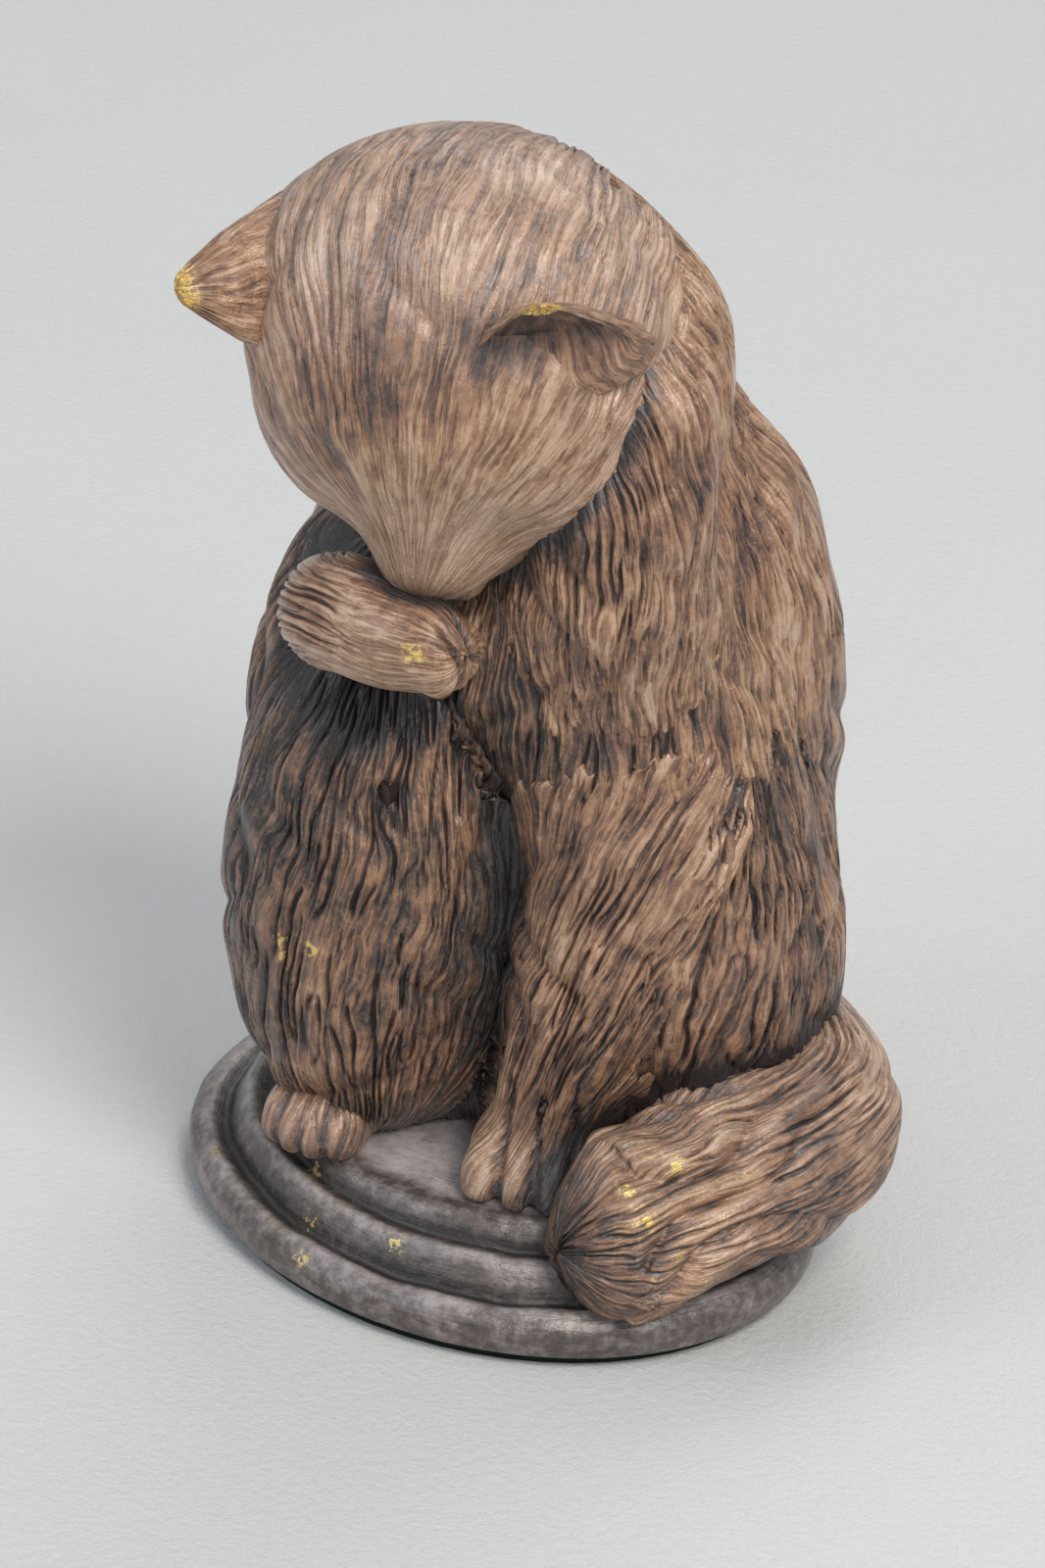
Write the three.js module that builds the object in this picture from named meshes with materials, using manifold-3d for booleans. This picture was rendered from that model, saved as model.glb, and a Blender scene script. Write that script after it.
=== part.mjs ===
// A seated long-haired cat in cast brass, licking its raised right forepaw, on a stepped oval base.
// Millimetres, +Z up. The origin is the centre of the underside, and the cat faces -Y.
// "Right" and "left" in the names are the cat's own.

import * as THREE from "three";
import { mergeVertices } from "three/addons/utils/BufferGeometryUtils.js";
import Module from "manifold-3d";

const wasm = await Module();
wasm.setup();

// Clearances between pieces
const seamGap = 0.3; // between two castings that meet on a shaped surface
const holeGap = 0.1; // round a dowel, a plug or a screw's thread
const passGap = 0.25; // round a screw's shank in the base
const cutOverrun = 1; // how far a cutting rod runs past each face of a thin plate

// Felt and base
const feltThickness = 1.0;
const feltInset = 1.2;
const baseHeight = 6.2;
const baseLong = 45.0;
const baseShort = 39.4;
const baseTurn = 134.5; // degrees from +X to the long axis, which runs from back left to front right
const deck = feltThickness + baseHeight; // the flat top that the cat sits on

// The three steps of the base, each a bead with a groove inside it: inset from the rim, height above the felt
const stepOutline = [
  [0.25, 0],
  [0.0, 0.9],
  [0.15, 1.9],
  [1.2, 2.75],
  [2.45, 2.35],
  [2.95, 3.3],
  [3.9, 4.65],
  [5.2, 4.35],
  [5.7, 5.2],
  [6.5, 6.0],
  [7.6, baseHeight],
];

// Body casting: wall, and the forms of the trunk as [x, y, height above the deck] and half sizes
const wall = 3.0;
const rump = { at: [-0.2, 5.4, 11.0], half: [19.0, 11.7, 17.0] };
const back = { at: [0.1, 4.4, 25.0], half: [19.4, 11.6, 26.0] };
const shoulder = { at: [8.4, 2.6, 35.5], half: [9.2, 9.0, 15.0] };
const rightHaunch = { at: [-9.7, -2.5, 17.6], half: [10.0, 9.6, 18.7] };
const leftHaunch = { at: [12.2, -0.4, 11.2], half: [8.7, 8.6, 15.5] };
const leftThigh = { at: [10.4, -4.2, 17.0], half: [8.2, 8.6, 15.5] };
const chest = { at: [2.2, -4.6, 37.5], half: [9.4, 8.2, 12.0] };
const neck = { low: [1.2, 0.6, 42.0], high: [0.6, 0.4, 49.6], lowRadius: 9.6, highRadius: 9.6 };
const nape = { at: [-5.0, -3.0, 55.6], half: [12.3, 11.4, 12.6] };
const mane = { at: [1.0, -4.6, 55.2], half: [8.6, 7.6, 9.0] };
const trunkBlend = 3.0;
const haunchBlend = 2.4;

// The ruff that hangs from the left cheek over the chest: [x, y, height above the deck, radius]
const ruff = [
  [4.4, -6.6, 57.6, 4.4],
  [3.8, -9.2, 54.0, 5.4],
  [3.4, -10.2, 49.0, 5.8],
  [3.6, -9.4, 43.0, 5.8],
  [4.0, -7.6, 37.0, 5.2],
];
const ruffSoftness = 1.5; // where its lengths run into each other
const ruffBlend = 2.4; // where it runs into the neck
const ruffEdge = 1.2; // where it meets the cheek

// Broad locks of the fur: how many go round, how high they stand, and how they waver on their way
const trunkLocks = 16;
const headLocks = 12;
const tailLocks = 9;
const lockHeight = 0.5;
const tailLockHeight = 0.9;
const lockMean = 0.64;
const lockWaves = [
  { sway: 0.5, pace: 0.21, twist: 2 },
  { sway: 0.3, pace: 0.47, twist: -3 },
];
const lockTop = 58.0; // height above the deck where the trunk's locks end, and how far they fade below it
const lockFade = 10.0;
const headLockRun = 12.0; // millimetres of hair for each radian from the nose
const faceLocks = 0.3; // how much of the locks is left on the face
const tailLockStart = 0.35; // share of the tail where its locks begin, and where they stand in full
const tailLockFull = 0.7;

// The hollow in the body casting: how far up it goes, and the low dome that closes it
const hollowHeight = 33.0;
const hollowDomeHeight = 3.0;
const hollowDomeShare = 0.6;

// The line inside the trunk that its sections are measured from
const trunkAxisLow = [0, 4.2, 0];
const trunkAxisHigh = [0, -0.4, 43.0];

// Neck joint: the plane where the head casting is seated on the body casting
const neckJoint = [-1.0, -1.0, 49.8];
const neckLean = [-0.3, -0.45, 0.84];

// Head casting: its centre, how it is turned, and its forms as [right, forward, up] from that centre
const headCentre = [-7.6, -8.6, 56.4];
const headDown = 56; // degrees the face is bent down
const headTilt = 15; // degrees the crown leans to the cat's right
const headTurn = -9; // degrees the face is turned
const skull = { at: [0.3, -0.6, 0.3], half: [12.3, 10.6, 9.6] };
const crown = { at: [0.3, -4.6, 1.2], half: [12.4, 9.0, 9.6] };
const muzzle = { at: [0, 9.4, -3.4], half: [4.7, 4.5, 3.7] };
const noseBridge = { low: [0, 4.5, 3.0], high: [0, 12.0, -1.4], lowRadius: 4.0, highRadius: 2.0 };
const cheek = { at: [6.3, 3.4, -2.6], half: [5.6, 5.9, 5.4] };
const chin = { at: [0, 8.2, -6.6], half: [3.1, 3.1, 2.0] };
const tongue = { at: [-0.8, 11.0, -6.2], half: [1.7, 2.6, 1.0] };
const faceBlend = 3.0;
const napeBlend = 4.0; // where the back of the head runs into the nape
// An ear runs from its root to its tip, and its hollow looks along facing
const ears = {
  right: { root: [9.9, -2.6, 5.2], tip: [13.0, -0.2, 12.0], facing: [0.39, -0.1, -0.9] },
  left: { root: [-9.0, -0.3, 6.0], tip: [-11.0, -0.9, 13.3], facing: [-0.25, 0.95, -0.1] },
};
const earHalfWidth = 4.2;
const earHalfDepth = 2.3;
const earWall = 0.9;

// Standing left foreleg, from the shoulder down: [x, y, height above the deck, radius]
const standingLeg = [
  [7.6, 0.4, 35.0, 6.0],
  [6.8, -3.8, 32.0, 7.2],
  [6.2, -6.4, 27.0, 6.9],
  [5.2, -8.3, 20.0, 5.6],
  [4.0, -9.0, 12.0, 4.6],
  [2.9, -9.1, 6.0, 3.8],
  [2.4, -9.1, 0.0, 3.6],
];
const standingPaw = { at: [1.9, -9.6, 2.2], half: [4.1, 4.2, 4.0], heading: -97, toes: 3 };

// Raised right foreleg, from the shoulder out to the paw
const raisedLeg = [
  [-7.6, 0.6, 34.6, 6.4],
  [-11.2, -4.4, 36.0, 5.0],
  [-13.4, -8.4, 38.8, 3.9],
  [-12.4, -12.2, 40.4, 3.5],
  [-9.8, -14.6, 40.6, 3.3],
  [-8.2, -15.8, 40.8, 3.0],
];
const raisedPaw = { at: [-7.4, -16.2, 40.8], half: [2.8, 2.8, 2.7], heading: -20, toes: 4 };

// Right hind foot, which shows in front of the right haunch
const rightHindFoot = { at: [-11.6, -5.0, 1.9], half: [3.2, 4.2, 3.0], heading: -112, toes: 4 };

// Left hind foot, behind the end of the tail
const leftHindFoot = { at: [9.4, -6.8, 1.5], half: [3.0, 3.8, 2.6], heading: -82, toes: 4 };

// Toes: half width and half length as shares of the paw, and where they sit in it
const toeWidth = 0.62; // of the room for one toe
const toeLength = 0.5;
const toeHeight = 0.62;
const toeReach = 0.66;
const toeDrop = 0.22;
const toeCurve = 0.75; // how far the outer toes stand back

// Tail, from the rump round the cat's left side to its blunt brush over the front of the base
const tailLine = [
  [4.0, 13.0, 6.6, 4.6],
  [10.6, 11.8, 5.0, 4.9],
  [15.6, 7.2, 4.0, 5.1],
  [18.4, 0.8, 3.9, 5.5],
  [19.4, -5.8, 3.9, 6.0],
  [16.2, -10.8, 3.4, 6.2],
  [11.4, -14.6, 2.6, 6.3],
  [6.6, -17.8, 1.6, 6.0],
];
const brushEnd = 0.45; // how far the blunt end bulges, as a share of its radius

// Dowels that carry the parts of the cat on the body casting
const dowelRadius = 1.2;
const neckDowel = { radius: 2.0, length: 12.0 };
const limbDowelLength = 8.0;
// Each runs from a place inside the trunk to a place inside the limb, and half of it is in each
const limbDowels = {
  raised_foreleg_dowel: { from: [-6.5, 1.5, 33.5], to: [-12.2, -5.8, 36.8] },
  standing_foreleg_dowel: { from: [4.6, 0.0, 26.0], to: [4.6, -7.4, 26.5] },
  tail_dowel: { from: [10.0, 2.0, 5.5], to: [18.8, -6.0, 4.2] },
};

// Screws that hold the body casting down, up through the base into a boss on each side of the hollow
const screwPlaces = { left: [12.4, 0.6], right: [-10.6, 4.4] };
const bossRadius = 3.2;
const bossHeight = 9.5;
const tapDepth = 7.5;
const screwRadius = 1.5;
const screwLength = 9.0;
const screwHeadRadius = 2.75;
const screwHeadHeight = 1.6;
const slotWidth = 0.7;
const slotDepth = 0.8;
const washerRadius = 3.2;
const washerThickness = 0.5;
const counterboreDepth = 3.0;

// Plugs that close the holes left by the core pins: angle round the trunk, height above the deck
const plugRadius = 0.85;
const plugDepth = 0.4; // how far a plug stops short of the skin
const plugReach = 1.0; // how far it goes on into the hollow
const plugPlaces = {
  core_plug_right_haunch: [-130, 27.4],
  core_plug_right_flank: [-144, 18.2],
  core_plug_back_right: [122, 24.0],
  core_plug_back_left: [56, 24.0],
};

// How finely the surfaces are cut
const trunkSides = 72;
const trunkRows = 26;
const domeRows = 6;
const hollowRows = 7;
const headSides = 48;
const headRows = 24;
const limbSides = 16;
const limbRows = 14;
const tailSides = 36;
const tailRows = 26;
const baseSides = 56;
const profilePoints = 16;
const boreSides = 16;
const capRows = 5;
const pawSides = 12;
const pawRows = 7;
const earSides = 20;
const rayReach = 46;
const raySteps = 92;
const rayHalvings = 22;

const colours = { brass: 0x6b4a34, dark: 0x3a302b, steel: 0x8d8f92, pin: 0xb08d4a, felt: 0x23362b };
const materials = {
  fur: new THREE.MeshStandardMaterial({ color: colours.brass, roughness: 0.5, metalness: 0.75 }),
  base: new THREE.MeshStandardMaterial({ color: colours.dark, roughness: 0.55, metalness: 0.7 }),
  steel: new THREE.MeshStandardMaterial({ color: colours.steel, roughness: 0.35, metalness: 0.9 }),
  pin: new THREE.MeshStandardMaterial({ color: colours.pin, roughness: 0.4, metalness: 0.9 }),
  felt: new THREE.MeshStandardMaterial({ color: colours.felt, roughness: 1.0, metalness: 0.0 }),
};

const radians = THREE.MathUtils.degToRad;
const up = new THREE.Vector3(0, 0, 1);
const figurine = new THREE.Group();

// A point given as [x, y, height above the deck]
const onDeck = ([x, y, height]) => new THREE.Vector3(x, y, deck + height);

function add(name, geometry, material) {
  const mesh = new THREE.Mesh(geometry, material);
  mesh.name = name;
  figurine.add(mesh);
}

// Solids: a closed geometry as a manifold solid, and back again

function solidOf(geometry) {
  const bare = geometry.index ? geometry.toNonIndexed() : geometry.clone();
  const points = new THREE.BufferGeometry().setAttribute("position", bare.getAttribute("position"));
  const merged = mergeVertices(points, 1e-4);
  return new wasm.Manifold(
    new wasm.Mesh({
      numProp: 3,
      vertProperties: merged.attributes.position.array,
      triVerts: new Uint32Array(merged.index.array),
    }),
  );
}

function geometryOf(solid) {
  const { numProp, numVert, vertProperties, triVerts } = solid.getMesh();
  const positions = new Float32Array(numVert * 3);
  for (let i = 0; i < numVert; i++) {
    positions.set(vertProperties.subarray(i * numProp, i * numProp + 3), i * 3);
  }
  const geometry = new THREE.BufferGeometry();
  geometry.setAttribute("position", new THREE.BufferAttribute(positions, 3));
  geometry.setIndex(new THREE.BufferAttribute(triVerts, 1));
  geometry.computeVertexNormals();
  return geometry;
}

// The largest body of a solid, without the crumbs that a cut can leave
function mainBody(solid) {
  return solid.decompose().reduce((a, b) => (b.volume() > a.volume() ? b : a));
}

// A closed skin over a stack of rings, each a list of points counter-clockwise about the way up
function ringStack(rings) {
  const sides = rings[0].length;
  const middle = (ring) =>
    ring.reduce((sum, p) => sum.add(p), new THREE.Vector3()).divideScalar(sides);
  const points = [...rings.flat(), middle(rings[0]), middle(rings.at(-1))];
  const lowPole = rings.length * sides;
  const faces = [];
  for (let j = 0; j < sides; j++) {
    const next = (j + 1) % sides;
    faces.push(lowPole, next, j);
    const top = (rings.length - 1) * sides;
    faces.push(lowPole + 1, top + j, top + next);
    for (let i = 0; i + 1 < rings.length; i++) {
      const [a, b] = [i * sides + j, i * sides + next];
      faces.push(a, b, b + sides, a, b + sides, a + sides);
    }
  }
  const geometry = new THREE.BufferGeometry().setFromPoints(points);
  geometry.setIndex(faces);
  return geometry;
}

// A cylinder of given radius from one point along a direction
function rod(start, along, radius, length, sides = boreSides) {
  const direction = along.clone().normalize();
  const turn = new THREE.Quaternion().setFromUnitVectors(new THREE.Vector3(0, 1, 0), direction);
  const middle = start.clone().addScaledVector(direction, length / 2);
  return new THREE.CylinderGeometry(radius, radius, length, sides).applyMatrix4(
    new THREE.Matrix4().compose(middle, turn, new THREE.Vector3(1, 1, 1)),
  );
}

function uprightRod(x, y, low, high, radius) {
  return rod(new THREE.Vector3(x, y, low), up, radius, high - low);
}

// A block that covers everything on the far side of a plane
function farSide(point, normal) {
  const reach = 4 * baseLong;
  const turn = new THREE.Quaternion().setFromUnitVectors(up, normal.clone().normalize());
  const middle = point.clone().addScaledVector(normal.clone().normalize(), reach / 2);
  return new THREE.BoxGeometry(reach, reach, reach).applyMatrix4(
    new THREE.Matrix4().compose(middle, turn, new THREE.Vector3(1, 1, 1)),
  );
}

const belowDeck = solidOf(farSide(new THREE.Vector3(0, 0, deck), new THREE.Vector3(0, 0, -1)));

// Distance fields: negative inside, so that forms can be blended as a modeller smooths clay

function egg([cx, cy, cz], [rx, ry, rz]) {
  return (x, y, z) => {
    const [u, v, w] = [(x - cx) / rx, (y - cy) / ry, (z - cz) / rz];
    const scaled = Math.hypot(u, v, w);
    return (scaled * (scaled - 1)) / Math.max(Math.hypot(u / rx, v / ry, w / rz), 1e-6);
  };
}

function cone([ax, ay, az], [bx, by, bz], radiusA, radiusB) {
  const [dx, dy, dz] = [bx - ax, by - ay, bz - az];
  const squared = dx * dx + dy * dy + dz * dz;
  return (x, y, z) => {
    const share = ((x - ax) * dx + (y - ay) * dy + (z - az) * dz) / squared;
    const t = Math.min(1, Math.max(0, share));
    const distance = Math.hypot(x - ax - t * dx, y - ay - t * dy, z - az - t * dz);
    return distance - radiusA - t * (radiusB - radiusA);
  };
}

function blended(softness, ...forms) {
  return (x, y, z) =>
    forms
      .map((form) => form(x, y, z))
      .reduce((a, b) => {
        const h = Math.max(softness - Math.abs(a - b), 0) / softness;
        return Math.min(a, b) - (h * h * softness) / 4;
      });
}

const trunkEgg = ({ at, half }) => egg(onDeck(at).toArray(), half);
const trunkCone = (low, high, lowRadius, highRadius) =>
  cone(onDeck(low).toArray(), onDeck(high).toArray(), lowRadius, highRadius);
const neckForm = trunkCone(neck.low, neck.high, neck.lowRadius, neck.highRadius);
const napeForm = trunkEgg(nape);
const maneForm = trunkEgg(mane);
const ruffForm = blended(
  ruffSoftness,
  ...ruff.slice(1).map((low, i) => trunkCone(ruff[i].slice(0, 3), low.slice(0, 3), ruff[i][3], low[3])),
);
const collarForm = blended(ruffBlend, blended(trunkBlend, neckForm, napeForm, maneForm), ruffForm);
const trunkForm = blended(
  haunchBlend,
  blended(trunkBlend, trunkEgg(rump), trunkEgg(back), trunkEgg(shoulder), trunkEgg(chest), collarForm),
  trunkEgg(rightHaunch),
  blended(trunkBlend, trunkEgg(leftHaunch), trunkEgg(leftThigh)),
);

// Height of the broad locks at a turn round a piece and a run along it: rounded, with a crease between
function lockRelief(count, turn, run) {
  const waver = lockWaves
    .map(({ sway, pace, twist }) => sway * Math.sin(pace * run + twist * turn))
    .reduce((sum, wave) => sum + wave);
  return Math.abs(Math.cos((count * turn) / 2 + Math.PI * waver)) - lockMean;
}

const held = (value) => Math.min(1, Math.max(0, value));

// The head's own axes: right, forward to the nose, and up between the ears
const headPlace = new THREE.Matrix4()
  .makeTranslation(onDeck(headCentre))
  .multiply(new THREE.Matrix4().makeRotationZ(radians(headTurn)))
  .multiply(
    new THREE.Matrix4().makeRotationAxis(
      new THREE.Vector3(0, -Math.cos(radians(headDown)), -Math.sin(radians(headDown))),
      radians(headTilt),
    ),
  )
  .multiply(new THREE.Matrix4().makeRotationX(radians(headDown)))
  .multiply(new THREE.Matrix4().makeRotationZ(Math.PI));
const onHead = ([right, forward, top]) => new THREE.Vector3(right, forward, top).applyMatrix4(headPlace);
const headAxis = (axis) => new THREE.Vector3().setFromMatrixColumn(headPlace, axis).normalize();
const [headRight, headForward, headUp] = [headAxis(0), headAxis(1), headAxis(2)];

// A form given in the head's own axes, as a field in the part's frame
function turnedWithHead(form) {
  const centre = onDeck(headCentre);
  const local = new THREE.Vector3();
  return (x, y, z) => {
    local.set(x, y, z).sub(centre);
    return form(local.dot(headRight), local.dot(headForward), local.dot(headUp));
  };
}

const mirrored = ([right, forward, top]) => [-right, forward, top];
const faceForm = turnedWithHead(
  blended(
    faceBlend,
    egg(skull.at, skull.half),
    egg(crown.at, crown.half),
    egg(cheek.at, cheek.half),
    egg(mirrored(cheek.at), cheek.half),
    egg(muzzle.at, muzzle.half),
    cone(noseBridge.low, noseBridge.high, noseBridge.lowRadius, noseBridge.highRadius),
    egg(chin.at, chin.half),
  ),
);
const headForm = blended(
  ruffEdge,
  blended(napeBlend, faceForm, napeForm, maneForm, neckForm),
  ruffForm,
);

// Where a ray from inside a form first leaves it, or last does if it comes back in
function castRay(form, origin, direction, level, outermost) {
  const stride = rayReach / raySteps;
  const at = (t) =>
    form(
      origin.x + t * direction.x,
      origin.y + t * direction.y,
      origin.z + t * direction.z,
    ) - level;
  let [inside, outside] = [0, stride];
  for (let i = 1; i <= raySteps; i++) {
    const isInside = at(i * stride) < 0;
    if (isInside) [inside, outside] = [i * stride, (i + 1) * stride];
    if (!isInside && !outermost) break;
  }
  for (let i = 0; i < rayHalvings; i++) {
    const middle = (inside + outside) / 2;
    if (at(middle) < 0) inside = middle;
    else outside = middle;
  }
  return origin.clone().addScaledVector(direction, inside);
}

// One ring of the trunk: level sections up to the chest, then rays that fan up to the crown
function trunkRing(form, level, outermost, height, elevation) {
  const share = height / trunkAxisHigh[2];
  const origin = onDeck(trunkAxisLow).lerp(onDeck(trunkAxisHigh), share);
  return Array.from({ length: trunkSides }, (_, j) => {
    const turn = (2 * Math.PI * j) / trunkSides;
    const flat = Math.cos(elevation);
    const direction = new THREE.Vector3(
      flat * Math.cos(turn),
      flat * Math.sin(turn),
      Math.sin(elevation),
    );
    const skin = castRay(form, origin, direction, level, outermost);
    if (!outermost) return skin;
    const fade = held((deck + lockTop - skin.z) / lockFade);
    return skin.addScaledVector(direction, fade * lockHeight * lockRelief(trunkLocks, turn, skin.z - deck));
  });
}

function trunkRings(level) {
  const rings = [];
  for (let i = 0; i < trunkRows; i++) {
    rings.push(trunkRing(trunkForm, level, true, (trunkAxisHigh[2] * i) / trunkRows, 0));
  }
  for (let i = 0; i < domeRows; i++) {
    const elevation = ((Math.PI / 2) * i) / domeRows;
    rings.push(trunkRing(trunkForm, level, true, trunkAxisHigh[2], elevation));
  }
  return rings;
}

// The hollow in the trunk, from just under the deck up to its low dome
function hollowRings() {
  const rings = [trunkRing(trunkForm, -wall, false, -1, 0)];
  for (let i = 1; i <= hollowRows; i++) {
    rings.push(trunkRing(trunkForm, -wall, false, (hollowHeight * i) / hollowRows, 0));
  }
  const centre = onDeck(trunkAxisLow).lerp(onDeck(trunkAxisHigh), hollowHeight / trunkAxisHigh[2]);
  const rise = up.clone().multiplyScalar(hollowDomeHeight);
  rings.push(rings.at(-1).map((p) => p.clone().lerp(centre, 1 - hollowDomeShare).add(rise)));
  return rings;
}

// The trunk's outer skin grown by a gap, which cuts what is seated on it
function grownTrunk(gap) {
  return solidOf(ringStack(trunkRings(gap)));
}

// Base: the stepped outline turned about the axis and drawn out to an oval

const rimRadius = (baseLong + baseShort) / 4;

function ovalLathe(profile) {
  return new THREE.LatheGeometry(profile, baseSides)
    .rotateX(Math.PI / 2)
    .scale(baseLong / (2 * rimRadius), baseShort / (2 * rimRadius), 1)
    .rotateZ(radians(baseTurn));
}

function stepProfile(gap) {
  const steps = new THREE.SplineCurve(
    stepOutline.map(([inset, height]) => new THREE.Vector2(rimRadius - inset, height + feltThickness)),
  );
  const outer = steps.getPoints(profilePoints).map((p) => new THREE.Vector2(p.x + gap, p.y + gap));
  const floor = outer[0].clone().setY(feltThickness - gap);
  return [new THREE.Vector2(0, floor.y), floor, ...outer, new THREE.Vector2(0, deck + gap)];
}

function baseSolid() {
  let base = solidOf(ovalLathe(stepProfile(0)));
  for (const [x, y] of Object.values(screwPlaces)) {
    const counterbore = uprightRod(x, y, 0, feltThickness + counterboreDepth, washerRadius + passGap);
    const hole = uprightRod(x, y, 0, deck + 1, screwRadius + passGap);
    base = base.subtract(solidOf(counterbore)).subtract(solidOf(hole));
  }
  return base;
}

// Limbs and tail: a round section swept along a smooth line. Its end bulges by a share of its radius:
// 0 is flat and 1 is round.

function sweep(stations, sides, rows, bulge, relief = () => 0) {
  const line = new THREE.CatmullRomCurve3(stations.map(onDeck), false, "centripetal");
  const radii = new THREE.SplineCurve(stations.map(([, , , radius], i) => new THREE.Vector2(i, radius)));
  const rings = [];
  const frames = line.computeFrenetFrames(rows, false);
  for (let i = 0; i <= rows; i++) {
    const centre = line.getPointAt(i / rows);
    const share = line.getUtoTmapping(i / rows);
    const lift = (direction) => relief(direction, frames.tangents[i], i / rows, line.getLength());
    const radius = radii.getPoint(share).y;
    rings.push(sectionRing(centre, frames.normals[i], frames.binormals[i], radius, sides, lift));
  }
  if (!bulge) return ringStack(rings);
  const middle = line.getPointAt(1);
  const rim = rings.at(-1);
  for (let i = 1; i <= capRows; i++) {
    const angle = ((Math.PI / 2) * i) / (capRows + 0.4);
    const rise = bulge * stations.at(-1)[3] * Math.sin(angle);
    rings.push(
      rim.map((p) => middle.clone().lerp(p, Math.cos(angle)).addScaledVector(frames.tangents[rows], rise)),
    );
  }
  return ringStack(rings);
}

function sectionRing(centre, across, over, radius, sides, lift = () => 0) {
  return Array.from({ length: sides }, (_, j) => {
    const turn = (2 * Math.PI * j) / sides;
    const direction = across.clone().multiplyScalar(Math.cos(turn)).addScaledVector(over, Math.sin(turn));
    return centre.clone().addScaledVector(direction, radius + lift(direction));
  });
}

// The locks of the tail's brush, counted round the tail from its upper side
function tailRelief(direction, tangent, share, length) {
  const top = up.clone().projectOnPlane(tangent).normalize();
  const turn = Math.atan2(direction.dot(tangent.clone().cross(top)), direction.dot(top));
  const strength = held((share - tailLockStart) / (tailLockFull - tailLockStart));
  return strength * tailLockHeight * lockRelief(tailLocks, turn, share * length);
}

// A paw: an egg with its toes in a fan at the front, headed along a compass angle in the level plane
function pawSolid({ at, half, heading, toes }, gap = 0) {
  const place = new THREE.Matrix4()
    .makeTranslation(onDeck(at))
    .multiply(new THREE.Matrix4().makeRotationZ(radians(heading - 90)));
  const ball = (centre, sizes) =>
    solidOf(
      new THREE.SphereGeometry(1, pawSides, pawRows)
        .rotateX(Math.PI / 2)
        .scale(...sizes.map((size) => size + gap))
        .translate(...centre)
        .applyMatrix4(place),
    );
  const [width, length, height] = half;
  const toe = [(toeWidth * 2 * width) / toes, toeLength * length, toeHeight * height];
  let paw = ball([0, 0, 0], half);
  for (let i = 0; i < toes; i++) {
    const across = ((i + 0.5) / toes - 0.5) * 2 * width;
    const forward = length * toeReach * Math.sqrt(1 - ((toeCurve * across) / width) ** 2);
    paw = paw.add(ball([across, forward, -toeDrop * height], toe));
  }
  return paw;
}

// An ear: a flattened cone from root to tip, scooped out on its outer side
function earSolid(ear) {
  const root = onHead(ear.root);
  const axis = onHead(ear.tip).sub(root);
  const length = axis.length();
  const sink = 0.35 * length;
  const z = axis.clone().normalize();
  const y = onHead(ear.facing).sub(onHead([0, 0, 0])).projectOnPlane(z).normalize();
  const x = y.clone().cross(z);
  const place = new THREE.Matrix4().makeBasis(x, y, z).setPosition(root);
  const leaf = (inset, shift) => {
    const outline = [
      [0, -sink],
      [earHalfWidth - inset, -sink],
      [0.98 * earHalfWidth - inset, 0.1 * length],
      [0.7 * earHalfWidth - inset, 0.5 * length],
      [0.28 * earHalfWidth - 0.5 * inset, 0.87 * length],
      [0, length - inset],
    ];
    const points = outline.map(([r, h]) => new THREE.Vector2(Math.max(r, 0), h));
    return new THREE.LatheGeometry(points, earSides)
      .rotateX(Math.PI / 2)
      .scale(1, earHalfDepth / earHalfWidth, 1)
      .translate(0, shift, 0);
  };
  const scoop = leaf(earWall, earHalfDepth * 0.75).translate(0, 0, 0.2 * length);
  return solidOf(leaf(0, 0).applyMatrix4(place)).subtract(solidOf(scoop.applyMatrix4(place)));
}

function headRings(level) {
  const centre = onHead([0, -1, 0]);
  const rings = [];
  for (let i = 1; i < headRows; i++) {
    const polar = Math.PI - (Math.PI * i) / headRows;
    const ring = Array.from({ length: headSides }, (_, j) => {
      const turn = (2 * Math.PI * j) / headSides;
      const direction = headForward
        .clone()
        .multiplyScalar(Math.cos(polar))
        .addScaledVector(headUp, Math.sin(polar) * Math.cos(turn))
        .addScaledVector(headRight, Math.sin(polar) * Math.sin(turn));
      const skin = castRay(headForm, centre, direction, level, true);
      const fade = Math.sin(polar) ** 2 * (1 - (1 - faceLocks) * Math.max(0, Math.cos(polar)));
      return skin.addScaledVector(
        direction,
        fade * lockHeight * lockRelief(headLocks, turn, polar * headLockRun),
      );
    });
    rings.push(ring);
  }
  return rings;
}

// Dowels and plugs, each with the hole that it sits in

const neckAxis = new THREE.Vector3(...neckLean).normalize();
const neckPoint = onDeck(neckJoint);
const dowels = {
  neck_dowel: {
    start: neckPoint.clone().addScaledVector(neckAxis, -neckDowel.length / 2),
    along: neckAxis,
    radius: neckDowel.radius,
    length: neckDowel.length,
  },
};
for (const [name, { from, to }] of Object.entries(limbDowels)) {
  const along = onDeck(to).sub(onDeck(from)).normalize();
  const skin = castRay(trunkForm, onDeck(from), along, 0, false);
  const start = skin.addScaledVector(along, -limbDowelLength / 2);
  dowels[name] = { start, along, radius: dowelRadius, length: limbDowelLength };
}

const dowelHoles = Object.values(dowels).map(({ start, along, radius, length }) =>
  solidOf(
    rod(start.clone().addScaledVector(along, -holeGap), along, radius + holeGap, length + 2 * holeGap),
  ),
);
const drilled = (solid) => dowelHoles.reduce((piece, hole) => piece.subtract(hole), solid);

function plugPlace([angle, height]) {
  const origin = onDeck(trunkAxisLow).lerp(onDeck(trunkAxisHigh), height / trunkAxisHigh[2]);
  const outward = new THREE.Vector3(Math.cos(radians(angle)), Math.sin(radians(angle)), 0);
  const skin = castRay(trunkForm, origin, outward, 0, true);
  return { start: skin.addScaledVector(outward, -wall - plugReach), along: outward };
}
const plugs = Object.entries(plugPlaces).map(([name, place]) => ({ name, ...plugPlace(place) }));

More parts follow.
